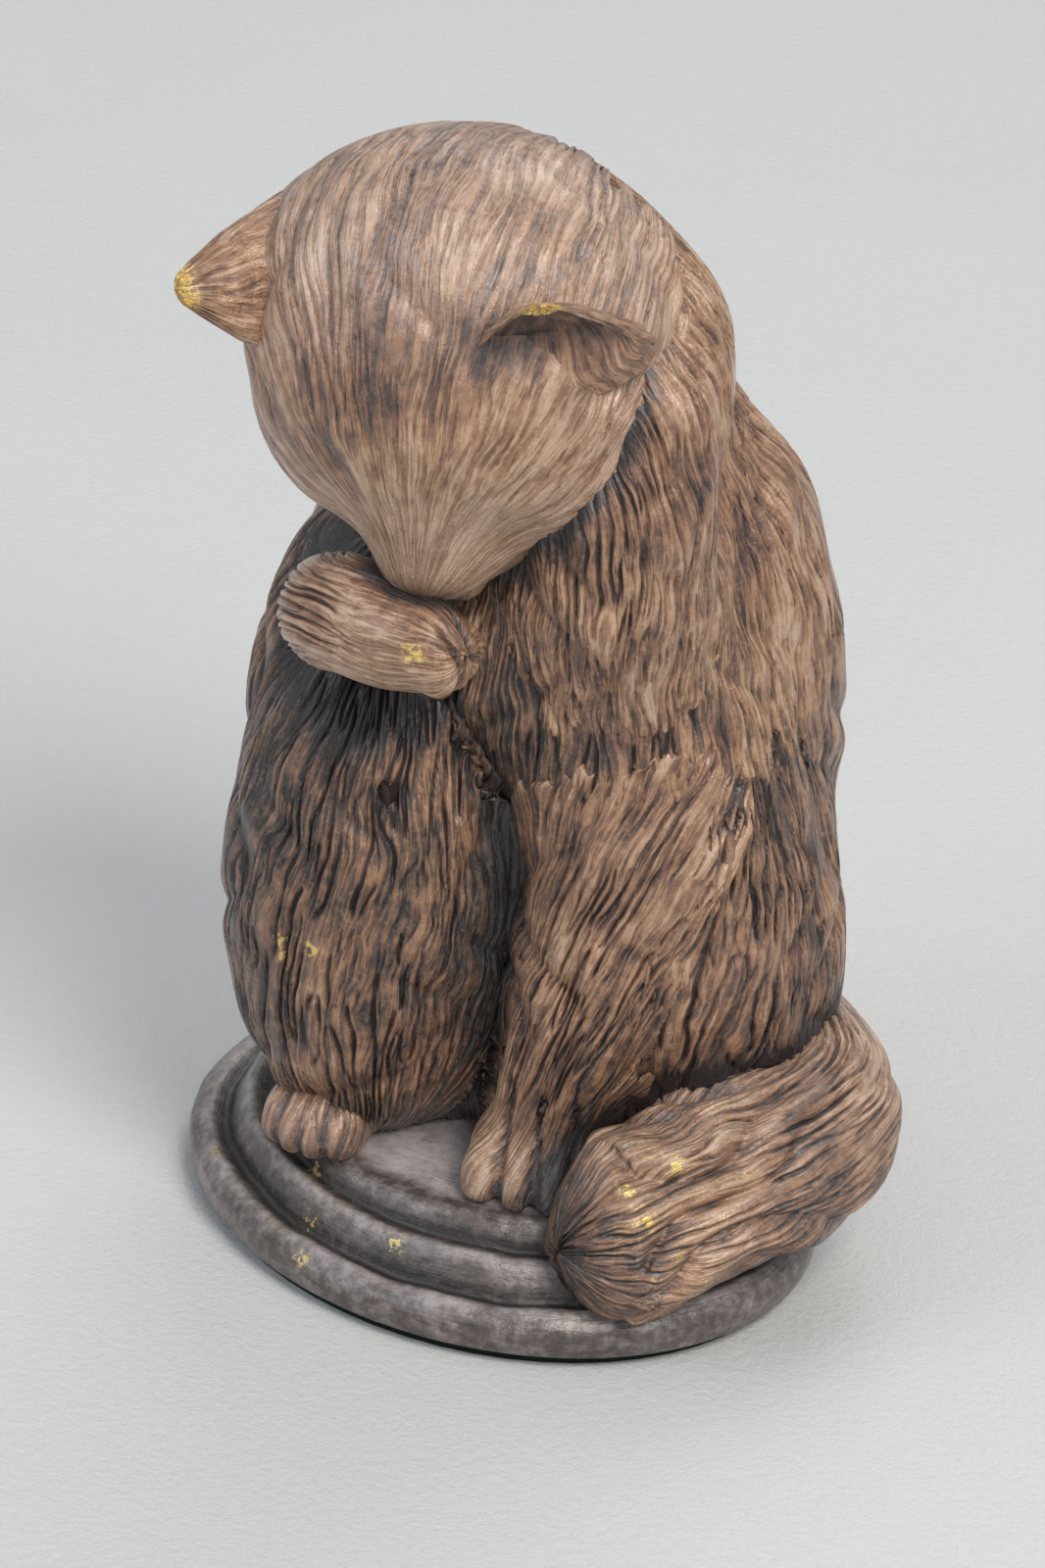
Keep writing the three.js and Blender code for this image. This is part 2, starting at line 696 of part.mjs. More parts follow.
function bodySolid() {
  const withinWall = grownTrunk(-0.5 * wall);
  let body = grownTrunk(0).subtract(solidOf(ringStack(hollowRings())));
  for (const [x, y] of Object.values(screwPlaces)) {
    const boss = solidOf(uprightRod(x, y, deck, deck + bossHeight, bossRadius));
    const tap = solidOf(uprightRod(x, y, deck - 1, deck + tapDepth, screwRadius + holeGap));
    body = body.add(boss.intersect(withinWall)).subtract(tap);
  }
  for (const { start, along } of plugs) {
    body = body.subtract(solidOf(rod(start, along, plugRadius + holeGap, 2 * wall)));
  }
  const aboveJoint = solidOf(farSide(neckPoint.clone().addScaledVector(neckAxis, -seamGap / 2), neckAxis));
  return mainBody(drilled(body.subtract(aboveJoint)));
}

// The head with its ears and the tip of the tongue, grown by a gap
function grownHead(gap) {
  const half = tongue.half.map((size) => size + gap);
  const tongueBall = new THREE.SphereGeometry(1, pawSides, pawRows).scale(...half).translate(...tongue.at);
  return solidOf(ringStack(headRings(gap)))
    .add(solidOf(tongueBall.applyMatrix4(headPlace)))
    .add(earSolid(ears.right))
    .add(earSolid(ears.left));
}

function headSolid() {
  const belowJoint = solidOf(
    farSide(neckPoint.clone().addScaledVector(neckAxis, seamGap / 2), neckAxis.clone().negate()),
  );
  return mainBody(drilled(grownHead(0).subtract(belowJoint)));
}

// The standing foreleg with its paw, grown by a gap
function grownStandingLeg(gap) {
  const leg = standingLeg.map(([x, y, height, radius]) => [x, y, height, radius + gap]);
  return solidOf(sweep(leg, limbSides, limbRows, 0)).add(pawSolid(standingPaw, gap));
}

// A piece of the cat that is seated on the trunk and on whatever it rests on below
function seated(solid, floor = belowDeck) {
  return mainBody(drilled(solid.subtract(floor).subtract(trunkCutter)));
}

// Assembly

const body = bodySolid();
const trunkCutter = grownTrunk(seamGap);
const head = headSolid();
const base = baseSolid();
const baseCutter = solidOf(ovalLathe(stepProfile(seamGap)));

const standing = seated(grownStandingLeg(0));
const raised = seated(
  solidOf(sweep(raisedLeg, limbSides, limbRows, 1))
    .add(pawSolid(raisedPaw))
    .subtract(grownHead(seamGap)),
);
const rightFoot = seated(pawSolid(rightHindFoot));
const leftFoot = seated(pawSolid(leftHindFoot).subtract(grownStandingLeg(seamGap)));
const tail = seated(
  solidOf(sweep(tailLine, tailSides, tailRows, brushEnd, tailRelief))
    .subtract(grownStandingLeg(seamGap))
    .subtract(pawSolid(leftHindFoot, seamGap)),
  baseCutter,
);

const feltProfile = [
  [0, 0],
  [rimRadius - feltInset, 0],
  [rimRadius - feltInset, feltThickness],
  [0, feltThickness],
].map(([r, z]) => new THREE.Vector2(r, z));

add("felt_pad", ovalLathe(feltProfile), materials.felt);
add("base_plinth", geometryOf(base), materials.base);
add("body_casting", geometryOf(body), materials.fur);
add("head_casting", geometryOf(head), materials.fur);
add("standing_foreleg", geometryOf(standing), materials.fur);
add("raised_foreleg", geometryOf(raised), materials.fur);
add("right_hind_foot", geometryOf(rightFoot), materials.fur);
add("left_hind_foot", geometryOf(leftFoot), materials.fur);
add("tail", geometryOf(tail), materials.fur);

for (const [name, { start, along, radius, length }] of Object.entries(dowels)) {
  add(name, rod(start, along, radius, length), materials.pin);
}
for (const { name, start, along } of plugs) {
  add(name, rod(start, along, plugRadius, wall + plugReach - plugDepth), materials.fur);
}
for (const [side, [x, y]] of Object.entries(screwPlaces)) {
  const seat = feltThickness + counterboreDepth;
  const headTop = seat - washerThickness;
  const headBottom = headTop - screwHeadHeight;
  const slotSize = [3 * screwHeadRadius, slotWidth, 2 * slotDepth];
  const slot = new THREE.BoxGeometry(...slotSize).translate(x, y, headBottom);
  const screw = solidOf(uprightRod(x, y, headBottom, headTop, screwHeadRadius))
    .add(solidOf(uprightRod(x, y, headTop - slotDepth, headTop + screwLength, screwRadius)))
    .subtract(solidOf(slot));
  const washer = solidOf(uprightRod(x, y, headTop, seat, washerRadius)).subtract(
    solidOf(uprightRod(x, y, headTop - cutOverrun, seat + cutOverrun, screwRadius + passGap)),
  );
  add(`fixing_screw_${side}`, geometryOf(screw), materials.steel);
  add(`washer_${side}`, geometryOf(washer), materials.steel);
}

export default figurine;
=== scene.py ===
"""Looks of a small cast cat: long carved fur under a brown patina, rubbed to copper and gold."""

import itertools
import logging
import math
from dataclasses import dataclass, field
from enum import Enum
from typing import Any, Sequence

import bpy
import numpy as np
from mathutils import Matrix, Vector


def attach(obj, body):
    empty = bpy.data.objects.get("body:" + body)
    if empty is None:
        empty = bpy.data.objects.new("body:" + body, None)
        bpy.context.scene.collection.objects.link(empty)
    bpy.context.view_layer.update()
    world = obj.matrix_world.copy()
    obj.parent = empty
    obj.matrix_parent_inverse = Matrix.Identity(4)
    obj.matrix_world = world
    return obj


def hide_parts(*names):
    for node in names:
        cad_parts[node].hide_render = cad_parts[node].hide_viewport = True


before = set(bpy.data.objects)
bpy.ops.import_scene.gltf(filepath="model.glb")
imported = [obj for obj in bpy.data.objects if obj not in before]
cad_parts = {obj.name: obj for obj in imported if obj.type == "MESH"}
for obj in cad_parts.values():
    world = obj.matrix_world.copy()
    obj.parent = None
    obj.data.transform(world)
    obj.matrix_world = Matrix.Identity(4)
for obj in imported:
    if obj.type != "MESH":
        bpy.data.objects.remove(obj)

log = logging.getLogger("cat")

MM = 0.001  # metres in a millimetre
DECK = 7.2  # height of the base's flat top, in millimetres
REACH = 46.0  # how far a ray looks for the skin, in millimetres
FAN = 16  # rings past the end of an axis
TO_BACK = (0, 1, 0)  # where column 0 of an upright skin points
UPWARDS = (0, 0, 1)  # where it points on the tail and the raised leg
HASH = (73856093, 19349663, 83492791, 668265263, 1274126177)  # odd multipliers that scatter lattice corners
Array = np.ndarray
Place = tuple[float, float, float]


def smoothstep(low: float, high: float, value: Array) -> Array:
    """0 below low, 1 above high, and 3x^2 - 2x^3 between them.

    Args:
        low: where the step starts.
        high: where it ends.
        value: what is stepped.

    Returns:
        The stepped values, 0 to 1.
    """
    share = np.clip((value - low) / (high - low), 0.0, 1.0)
    return share * share * (3.0 - 2.0 * share)


def bell(distance: Array, width: float) -> Array:
    """exp(-(distance / width)^2), which is 1 in the middle and 0.37 at one width."""
    return np.exp(-((distance / width) ** 2))


def unit(vectors: Array) -> Array:
    """Vectors divided by their own lengths."""
    return vectors / np.maximum(np.linalg.norm(vectors, axis=-1, keepdims=True), 1e-12)


def on_deck(place: Sequence[float]) -> Array:
    """A place given as x, y and height above the base's flat top, as a point in millimetres."""
    return np.array([place[0], place[1], DECK + place[2]], float)


def spiral_directions(count: int) -> Array:
    """Unit vectors spread evenly over a sphere along a golden-angle spiral.

    Args:
        count: how many.

    Returns:
        The vectors, count by 3.
    """
    k = np.arange(count)
    z = 1 - (2 * k + 1) / count
    turn = k * math.pi * (3 - math.sqrt(5))
    return np.stack([np.sqrt(1 - z * z) * np.cos(turn), np.sqrt(1 - z * z) * np.sin(turn), z], -1)


@dataclass(frozen=True)
class Noise:
    """Gradient noise in space: each lattice corner has a slope, blended by 6x^5 - 15x^4 + 10x^3."""

    seed: int
    slopes: Array = field(default_factory=lambda: spiral_directions(256), repr=False, compare=False)

    def at(self, points: Array, size: Sequence[float] = (1, 1, 1)) -> Array:
        """The noise at each point.

        Args:
            points: places in millimetres.
            size: how long a lattice cell is each way.

        Returns:
            Values of about -1 to 1.
        """
        scaled = points / np.array(size, float)
        cell = np.floor(scaled).astype(np.int64)
        part = scaled - cell
        ease = part**3 * (part * (part * 6 - 15) + 10)
        total = np.zeros(points.shape[:-1])
        for corner in itertools.product((0, 1), repeat=3):
            at = cell + np.array(corner)
            mixed = (at[..., 0] * HASH[0]) ^ (at[..., 1] * HASH[1]) ^ (at[..., 2] * HASH[2])
            mixed = (mixed ^ (self.seed * HASH[3])) & 0xFFFFFFFF
            mixed = ((mixed ^ (mixed >> 13)) * HASH[4]) & 0xFFFFFFFF
            slope = self.slopes[(mixed >> 15) & 255]
            weight = np.prod(np.where(np.array(corner) == 1, ease, 1 - ease), axis=-1)
            total += weight * np.sum(slope * (part - np.array(corner)), axis=-1)
        return 1.6 * total


# Forms: closed shapes given by a distance that is negative inside


class Form:
    """A shape known by its distance field."""

    def distance(self, points: Array) -> Array:
        """Distance from each point to the skin in millimetres, negative inside."""
        raise NotImplementedError

    def grown(self, by: float) -> "Form":
        """The same shape with its skin moved outwards."""
        return Grown(self, by)


@dataclass(frozen=True)
class Grown(Form):
    """A shape with its skin moved outwards: its distance less a constant."""

    form: Form
    by: float

    def distance(self, points: Array) -> Array:
        """The inner shape's distance less the growth."""
        return self.form.distance(points) - self.by


@dataclass(frozen=True)
class Egg(Form):
    """An egg with three half sizes: distance is k(k - 1) / |p / half^2| with k = |p / half|."""

    at: Place
    half: Place

    def distance(self, points: Array) -> Array:
        """Near distance to the egg's skin.

        Args:
            points: places in millimetres.

        Returns:
            Distances in millimetres, negative inside.
        """
        scaled = (points - np.array(self.at)) / np.array(self.half)
        size = np.linalg.norm(scaled, axis=-1)
        slope = np.linalg.norm(scaled / np.array(self.half), axis=-1)
        return size * (size - 1.0) / np.maximum(slope, 1e-6)


@dataclass(frozen=True)
class Cone(Form):
    """A rod with round ends whose radius runs evenly from one end to the other."""

    low: Place
    high: Place
    low_radius: float
    high_radius: float

    def distance(self, points: Array) -> Array:
        """Distance to the nearest point of the middle line, less the radius there.

        Args:
            points: places in millimetres.

        Returns:
            Distances in millimetres, negative inside.
        """
        low, axis = np.array(self.low), np.array(self.high) - np.array(self.low)
        share = np.clip(((points - low) @ axis) / float(axis @ axis), 0.0, 1.0)
        away = np.linalg.norm(points - low - share[..., None] * axis, axis=-1)
        return away - self.low_radius - share * (self.high_radius - self.low_radius)


@dataclass(frozen=True)
class Blend(Form):
    """Shapes run together: min(a, b) - h^2 s / 4 with h = max(s - |a - b|, 0) / s."""

    softness: float
    forms: tuple[Form, ...]

    def distance(self, points: Array) -> Array:
        """The blended distance of all the shapes.

        Args:
            points: places in millimetres.

        Returns:
            Distances in millimetres, negative inside.
        """
        total = self.forms[0].distance(points)
        for form in self.forms[1:]:
            other = form.distance(points)
            near = np.maximum(self.softness - np.abs(total - other), 0.0) / self.softness
            total = np.minimum(total, other) - near * near * self.softness / 4.0
        return total


@dataclass(frozen=True)
class Common(Form):
    """What two shapes share: the larger of the two distances."""

    first: Form
    second: Form

    def distance(self, points: Array) -> Array:
        """The larger distance."""
        return np.maximum(self.first.distance(points), self.second.distance(points))


@dataclass(frozen=True)
class Turned(Form):
    """A shape given in axes of its own: rows of axes are the own x, y and z in the part's frame."""

    form: Form
    centre: Place
    axes: tuple[Place, ...]

    def distance(self, points: Array) -> Array:
        """Distance after the points are carried into the shape's own axes."""
        return self.form.distance((points - np.array(self.centre)) @ np.array(self.axes).T)


def deck_egg(at: Sequence[float], half: Sequence[float]) -> Egg:
    """An egg whose centre is given as x, y and height above the base's flat top."""
    return Egg(tuple(on_deck(at)), tuple(half))


def rods(softness: float, stations: Sequence[Sequence[float]]) -> Form:
    """Rods from station to station run together, each station x, y, height above the deck and radius.

    Args:
        softness: how far they run into each other, in millimetres.
        stations: where they meet.

    Returns:
        The form.
    """
    ends = [(tuple(on_deck(s)), s[3]) for s in stations]
    return Blend(softness, tuple(Cone(a, b, ra, rb) for (a, ra), (b, rb) in zip(ends, ends[1:])))


# Paths and the surfaces cast from them


@dataclass(frozen=True)
class Path:
    """A smooth line through stations of x, y, height above the deck and radius."""

    stations: tuple[tuple[float, float, float, float], ...]

    def sample(self, count: int) -> tuple[Array, Array]:
        """Evenly spaced points on the Catmull-Rom line through the stations, and the radii there.

        Args:
            count: how many points.

        Returns:
            Points in millimetres, count by 3, and radii.
        """
        nodes = np.array(self.stations, float) + np.array([0, 0, DECK, 0])
        line = resample(nodes, 40 * len(nodes), 0, False)
        run = np.concatenate([[0], np.cumsum(np.linalg.norm(np.diff(line[:, :3], axis=0), axis=1))])
        wanted = np.linspace(0, run[-1], count)
        even = np.stack([np.interp(wanted, run, line[:, k]) for k in range(4)], axis=1)
        return even[:, :3], even[:, 3]

    def centres(self, count: int = 24) -> Array:
        """The points of a sample, without their radii."""
        return self.sample(count)[0]

    def form(self, segments: int = 22) -> Form:
        """The line's own thick shape, as cones between near points.

        Args:
            segments: how many cones.

        Returns:
            The form.
        """
        points, radii = self.sample(segments + 1)
        cones = tuple(
            Cone(tuple(points[k]), tuple(points[k + 1]), radii[k], radii[k + 1]) for k in range(segments)
        )
        return Blend(0.4, cones)


def cast(form: Form, origins: Array, directions: Array, reach: float = REACH) -> Array:
    """Where rays from inside a form last leave it, found by steps and then by halving.

    Args:
        form: the shape.
        origins: points inside it.
        directions: unit vectors.
        reach: how far a ray goes, in millimetres.

    Returns:
        The points on the skin.
    """
    steps, halvings = 80, 16
    stride = reach / steps
    inside = np.zeros(origins.shape[:-1])
    for k in range(1, steps + 1):
        is_in = form.distance(origins + k * stride * directions) < 0
        inside = np.where(is_in, k * stride, inside)
    outside = inside + stride
    for _ in range(halvings):
        middle = (inside + outside) / 2
        is_in = form.distance(origins + middle[..., None] * directions) < 0
        inside, outside = np.where(is_in, middle, inside), np.where(is_in, outside, middle)
    return origins + inside[..., None] * directions


def resample(values: Array, count: int, axis: int, closed: bool) -> Array:
    """More samples along one axis of a grid, on Catmull-Rom lines through the old ones.

    Args:
        values: the grid.
        count: samples wanted.
        axis: 0 for rows or 1 for columns.
        closed: True where the last sample is followed by the first.

    Returns:
        The finer grid.
    """
    values = np.moveaxis(values, axis, 0)
    size = values.shape[0]
    position = np.arange(count) * size / count if closed else np.linspace(0, size - 1, count)
    first = np.floor(position).astype(int) if closed else np.minimum(position.astype(int), size - 2)
    t = (position - first).reshape((-1,) + (1,) * (values.ndim - 1))

    def take(k: int) -> Array:
        """Samples some places after the first; past an open end the line runs on straight.

        Args:
            k: how many places after it.

        Returns:
            The samples.
        """
        index = first + k
        if closed:
            return values[np.mod(index, size)]
        held = values[np.clip(index, 0, size - 1)]
        before = 2 * values[0] - values[1]
        beyond = 2 * values[-1] - values[-2]
        shape = (-1,) + (1,) * (values.ndim - 1)
        held = np.where((index < 0).reshape(shape), before, held)
        return np.where((index >= size).reshape(shape), beyond, held)

    a, b, c, d = take(-1), take(0), take(1), take(2)
    line = 2 * b + (c - a) * t + (2 * a - 5 * b + 4 * c - d) * t**2 + (3 * b - a - 3 * c + d) * t**3
    return np.moveaxis(0.5 * line, 0, axis)


@dataclass
class Skin:
    """A closed surface as a grid: rows run along the hair, columns run round the piece."""

    points: Array
    values: dict[str, Array] = field(default_factory=dict)
    flow: Array | None = None

    @staticmethod
    def along(
        form: Form, path: Path, columns: int, rows: int, fan: int, side: Sequence[float], reach: float = REACH
    ) -> "Skin":
        """The form's skin as seen from a path: rings square to the path, then rays that fan to its end.

        Args:
            form: the shape.
            path: the line inside it.
            columns: rays in a ring.
            rows: rings along the path.
            fan: rings past its end, 0 for an end cut flat.
            side: roughly where column 0 points.
            reach: how far a ray goes, in millimetres.

        Returns:
            The skin.
        """
        centres = path.centres(rows)
        ahead = unit(np.gradient(centres, axis=0))
        sides = np.zeros_like(centres)
        turned = np.array(side, float)
        for k in range(rows):
            turned = turned - (turned @ ahead[k]) * ahead[k]
            turned /= np.linalg.norm(turned)
            sides[k] = turned
        over = np.cross(ahead, sides)
        lift = np.zeros(rows)
        if fan:
            last = [np.repeat(v[-1:], fan, axis=0) for v in (centres, ahead, sides, over)]
            centres, ahead, sides, over = (
                np.vstack([v, more]) for v, more in zip((centres, ahead, sides, over), last)
            )
            lift = np.concatenate([lift, (np.arange(1, fan + 1) / (fan + 0.6)) * math.pi / 2])
        turn = 2 * math.pi * np.arange(columns) / columns
        flat = np.cos(turn)[None, :, None] * sides[:, None] + np.sin(turn)[None, :, None] * over[:, None]
        directions = np.cos(lift)[:, None, None] * flat + np.sin(lift)[:, None, None] * ahead[:, None]
        origins = np.broadcast_to(centres[:, None], directions.shape)
        return Skin(cast(form, origins, directions, reach))

    @staticmethod
    def about(form: Form, centre: Array, pole: Array, side: Array, columns: int, rows: int) -> "Skin":
        """The form's skin as seen from one point: rows run from the back of the pole to the pole.

        Args:
            form: the shape.
            centre: the point inside it.
            pole: unit vector to the last row.
            side: unit vector to column 0.
            columns: rays in a ring.
            rows: rings.

        Returns:
            The skin.
        """
        over = np.cross(pole, side)
        polar = math.pi * (1 - (np.arange(rows) + 0.5) / rows)
        turn = 2 * math.pi * np.arange(columns) / columns
        flat = np.cos(turn)[None, :, None] * side + np.sin(turn)[None, :, None] * over
        directions = np.sin(polar)[:, None, None] * flat + np.cos(polar)[:, None, None] * pole
        origins = np.broadcast_to(centre, directions.shape)
        return Skin(cast(form, origins, directions))

    def finer(self, columns: int, rows: int) -> "Skin":
        """The same skin on a finer grid."""
        return Skin(resample(resample(self.points, columns, 1, True), rows, 0, False))

    def share(self) -> Array:
        """Way round of each grid point, 0 to 1."""
        rows, columns = self.points.shape[:2]
        return np.broadcast_to(np.arange(columns) / columns, (rows, columns)).astype(float)

    def run(self) -> Array:
        """Way along the hair of each grid point in millimetres: the mean run of the columns."""
        steps = np.linalg.norm(np.diff(self.points, axis=0), axis=2).mean(axis=1)
        return np.broadcast_to(np.concatenate([[0], np.cumsum(steps)])[:, None], self.points.shape[:2]).copy()

    def around(self) -> float:
        """Mean length round the middle half of the piece.

        Returns:
            The length in millimetres.
        """
        rows = self.points.shape[0]
        middle = self.points[rows // 4 : max(3 * rows // 4, rows // 4 + 1)]
        return float(np.linalg.norm(middle - np.roll(middle, 1, axis=1), axis=2).sum(axis=1).mean())

    def tube(self, turned: Array | float = 0.0) -> Array:
        """Places on a round tube of the piece's mean girth, with the run as height.

        Args:
            turned: how far each place is moved round, in millimetres.

        Returns:
            The places, one for each grid point, in millimetres.
        """
        radius = self.around() / (2 * math.pi)
        angle = 2 * math.pi * self.share() + turned / radius
        return np.stack([radius * np.cos(angle), radius * np.sin(angle), self.run()], -1)

    def steepness(self, value: Array) -> Array:
        """How fast a value changes over the skin.

        Args:
            value: the value at each grid point.

        Returns:
            The length of its slope, per millimetre.
        """
        across = np.linalg.norm(np.roll(self.points, -1, 1) - np.roll(self.points, 1, 1), axis=-1)
        along = np.linalg.norm(np.gradient(self.points, axis=0), axis=-1)
        by_column = (np.roll(value, -1, 1) - np.roll(value, 1, 1)) / np.maximum(across, 0.02)
        by_row = np.gradient(value, axis=0) / np.maximum(along, 0.02)
        return np.sqrt(by_column**2 + by_row**2)

    def normals(self) -> Array:
        """Normals from the cross product of the two grid directions, turned outwards.

        Returns:
            Unit vectors, one for each grid point.
        """
        round_way = np.roll(self.points, -1, axis=1) - np.roll(self.points, 1, axis=1)
        along_way = np.gradient(self.points, axis=0)
        normal = unit(np.cross(round_way, along_way))
        middle = self.points.mean(axis=1, keepdims=True)
        if np.mean(np.sum(normal * (self.points - middle), axis=-1)) < 0:
            normal = -normal
        return normal

    def pushed(self, height: Array | float) -> "Skin":
        """The skin moved along its normals by a height in millimetres, one for all points or one for each."""
        moved = self.points + np.asarray(height)[..., None] * self.normals()
        return Skin(moved, dict(self.values), self.flow)

    def near(self, place: Sequence[float], radius: float) -> Array:
        """exp(-(d / radius)^2), where d is the distance to a place in millimetres."""
        return bell(np.linalg.norm(self.points - np.array(place), axis=-1), radius)

    def darken(self, by: Array) -> None:
        """Adds to the value groove, which stays between 0 and 1."""
        self.values["groove"] = np.clip(self.values["groove"] + by, 0, 1)

    def mesh(self, name: str) -> bpy.types.Mesh:
        """Puts the grid into a mesh, closed at both ends by a point, with its values as attributes.

        Args:
            name: the mesh's name.

        Returns:
            The mesh, in metres.
        """
        rows, columns = self.points.shape[:2]
        poles = np.stack([self.points[0].mean(axis=0), self.points[-1].mean(axis=0)])
        places = np.vstack([self.points.reshape(-1, 3), poles]) * MM
        i, j = np.meshgrid(np.arange(rows - 1), np.arange(columns), indexing="ij")
        after = (j + 1) % columns
        near, far = i * columns, (i + 1) * columns
        quads = np.stack([near + j, near + after, far + after, far + j], -1).reshape(-1, 4)
        column = np.arange(columns)
        turn = (column + 1) % columns
        top = (rows - 1) * columns
        low = np.stack([turn, column, np.full(columns, rows * columns)], -1)
        high = np.stack([top + column, top + turn, np.full(columns, rows * columns + 1)], -1)
        middle = places.mean(axis=0)
        corner = [places[quads[:, k]] - middle for k in range(4)]
        first = np.sum(np.cross(corner[0], corner[1]) * corner[2])
        second = np.sum(np.cross(corner[0], corner[2]) * corner[3])
        if first + second < 0:
            quads, low, high = quads[:, ::-1], low[:, ::-1], high[:, ::-1]
        loops = np.concatenate([quads.ravel(), low.ravel(), high.ravel()]).astype(np.int32)
        sizes = np.concatenate([np.full(len(quads), 4), np.full(2 * columns, 3)])
        starts = np.concatenate([[0], np.cumsum(sizes)[:-1]]).astype(np.int32)
        mesh = bpy.data.meshes.new(name)
        mesh.vertices.add(len(places))
        mesh.vertices.foreach_set("co", places.astype(np.float32).ravel())
        mesh.loops.add(len(loops))
        mesh.loops.foreach_set("vertex_index", loops)
        mesh.polygons.add(len(sizes))
        mesh.polygons.foreach_set("loop_start", starts)
        mesh.polygons.foreach_set("use_smooth", np.ones(len(sizes), bool))
        mesh.update(calc_edges=True)
        for key, value in self.values.items():
            flat = np.concatenate([value.ravel(), [value[0].mean(), value[-1].mean()]])
            layer = mesh.attributes.new(key, "FLOAT", "POINT")
            layer.data.foreach_set("value", flat.astype(np.float32))
        flow = self.tube() if self.flow is None else self.flow
        flat = np.vstack([flow.reshape(-1, 3), flow[0, :1], flow[-1, :1]])
        layer = mesh.attributes.new("flow", "FLOAT_VECTOR", "POINT")
        layer.data.foreach_set("vector", flat.astype(np.float32).ravel())
        mesh.validate()
        return mesh


# Fur


@dataclass(frozen=True)
class Locks:
    """Broad locks that part the fur, rounded with a crease between.

    Height = height * (|cos(count * turn / 2 + pi * waver)| - mean), where the waver is a sum of sines of the
    run along the hair and the turn round the piece. The body's axis starts at y = foot on the deck and leans
    forward by lean over the height rise. Its locks fade out over the last fading millimetres to the crown.
    """

    count: int
    height: float = 0.5
    mean: float = 0.64
    waves: tuple = ((0.5, 0.21, 2.0), (0.3, 0.47, -3.0))
    foot: float = 4.2
    lean: float = 4.6
    rise: float = 43.0
    crown: float = 58.0
    fading: float = 10.0

    def at(self, turn: Array, run: Array) -> Array:
        """The locks' height.

        Args:
            turn: angle round the piece in radians.
            run: way along it in millimetres.

        Returns:
            Heights in millimetres.
        """
        waver = sum(sway * np.sin(pace * run + twist * turn) for sway, pace, twist in self.waves)
        return self.height * (np.abs(np.cos(self.count * turn / 2 + math.pi * waver)) - self.mean)

    def body(self, points: Array) -> Array:
        """The locks of the trunk and all that is cast with it, counted round its leaning axis.

        Args:
            points: places in millimetres.

        Returns:
            Heights in millimetres, which fade out below the crown.
        """
        height = points[..., 2] - DECK
        middle = self.foot - self.lean * np.clip(height / self.rise, 0, 1)
        turn = np.arctan2(points[..., 1] - middle, points[..., 0])
        return np.clip((self.crown - height) / self.fading, 0, 1) * self.at(turn, height)


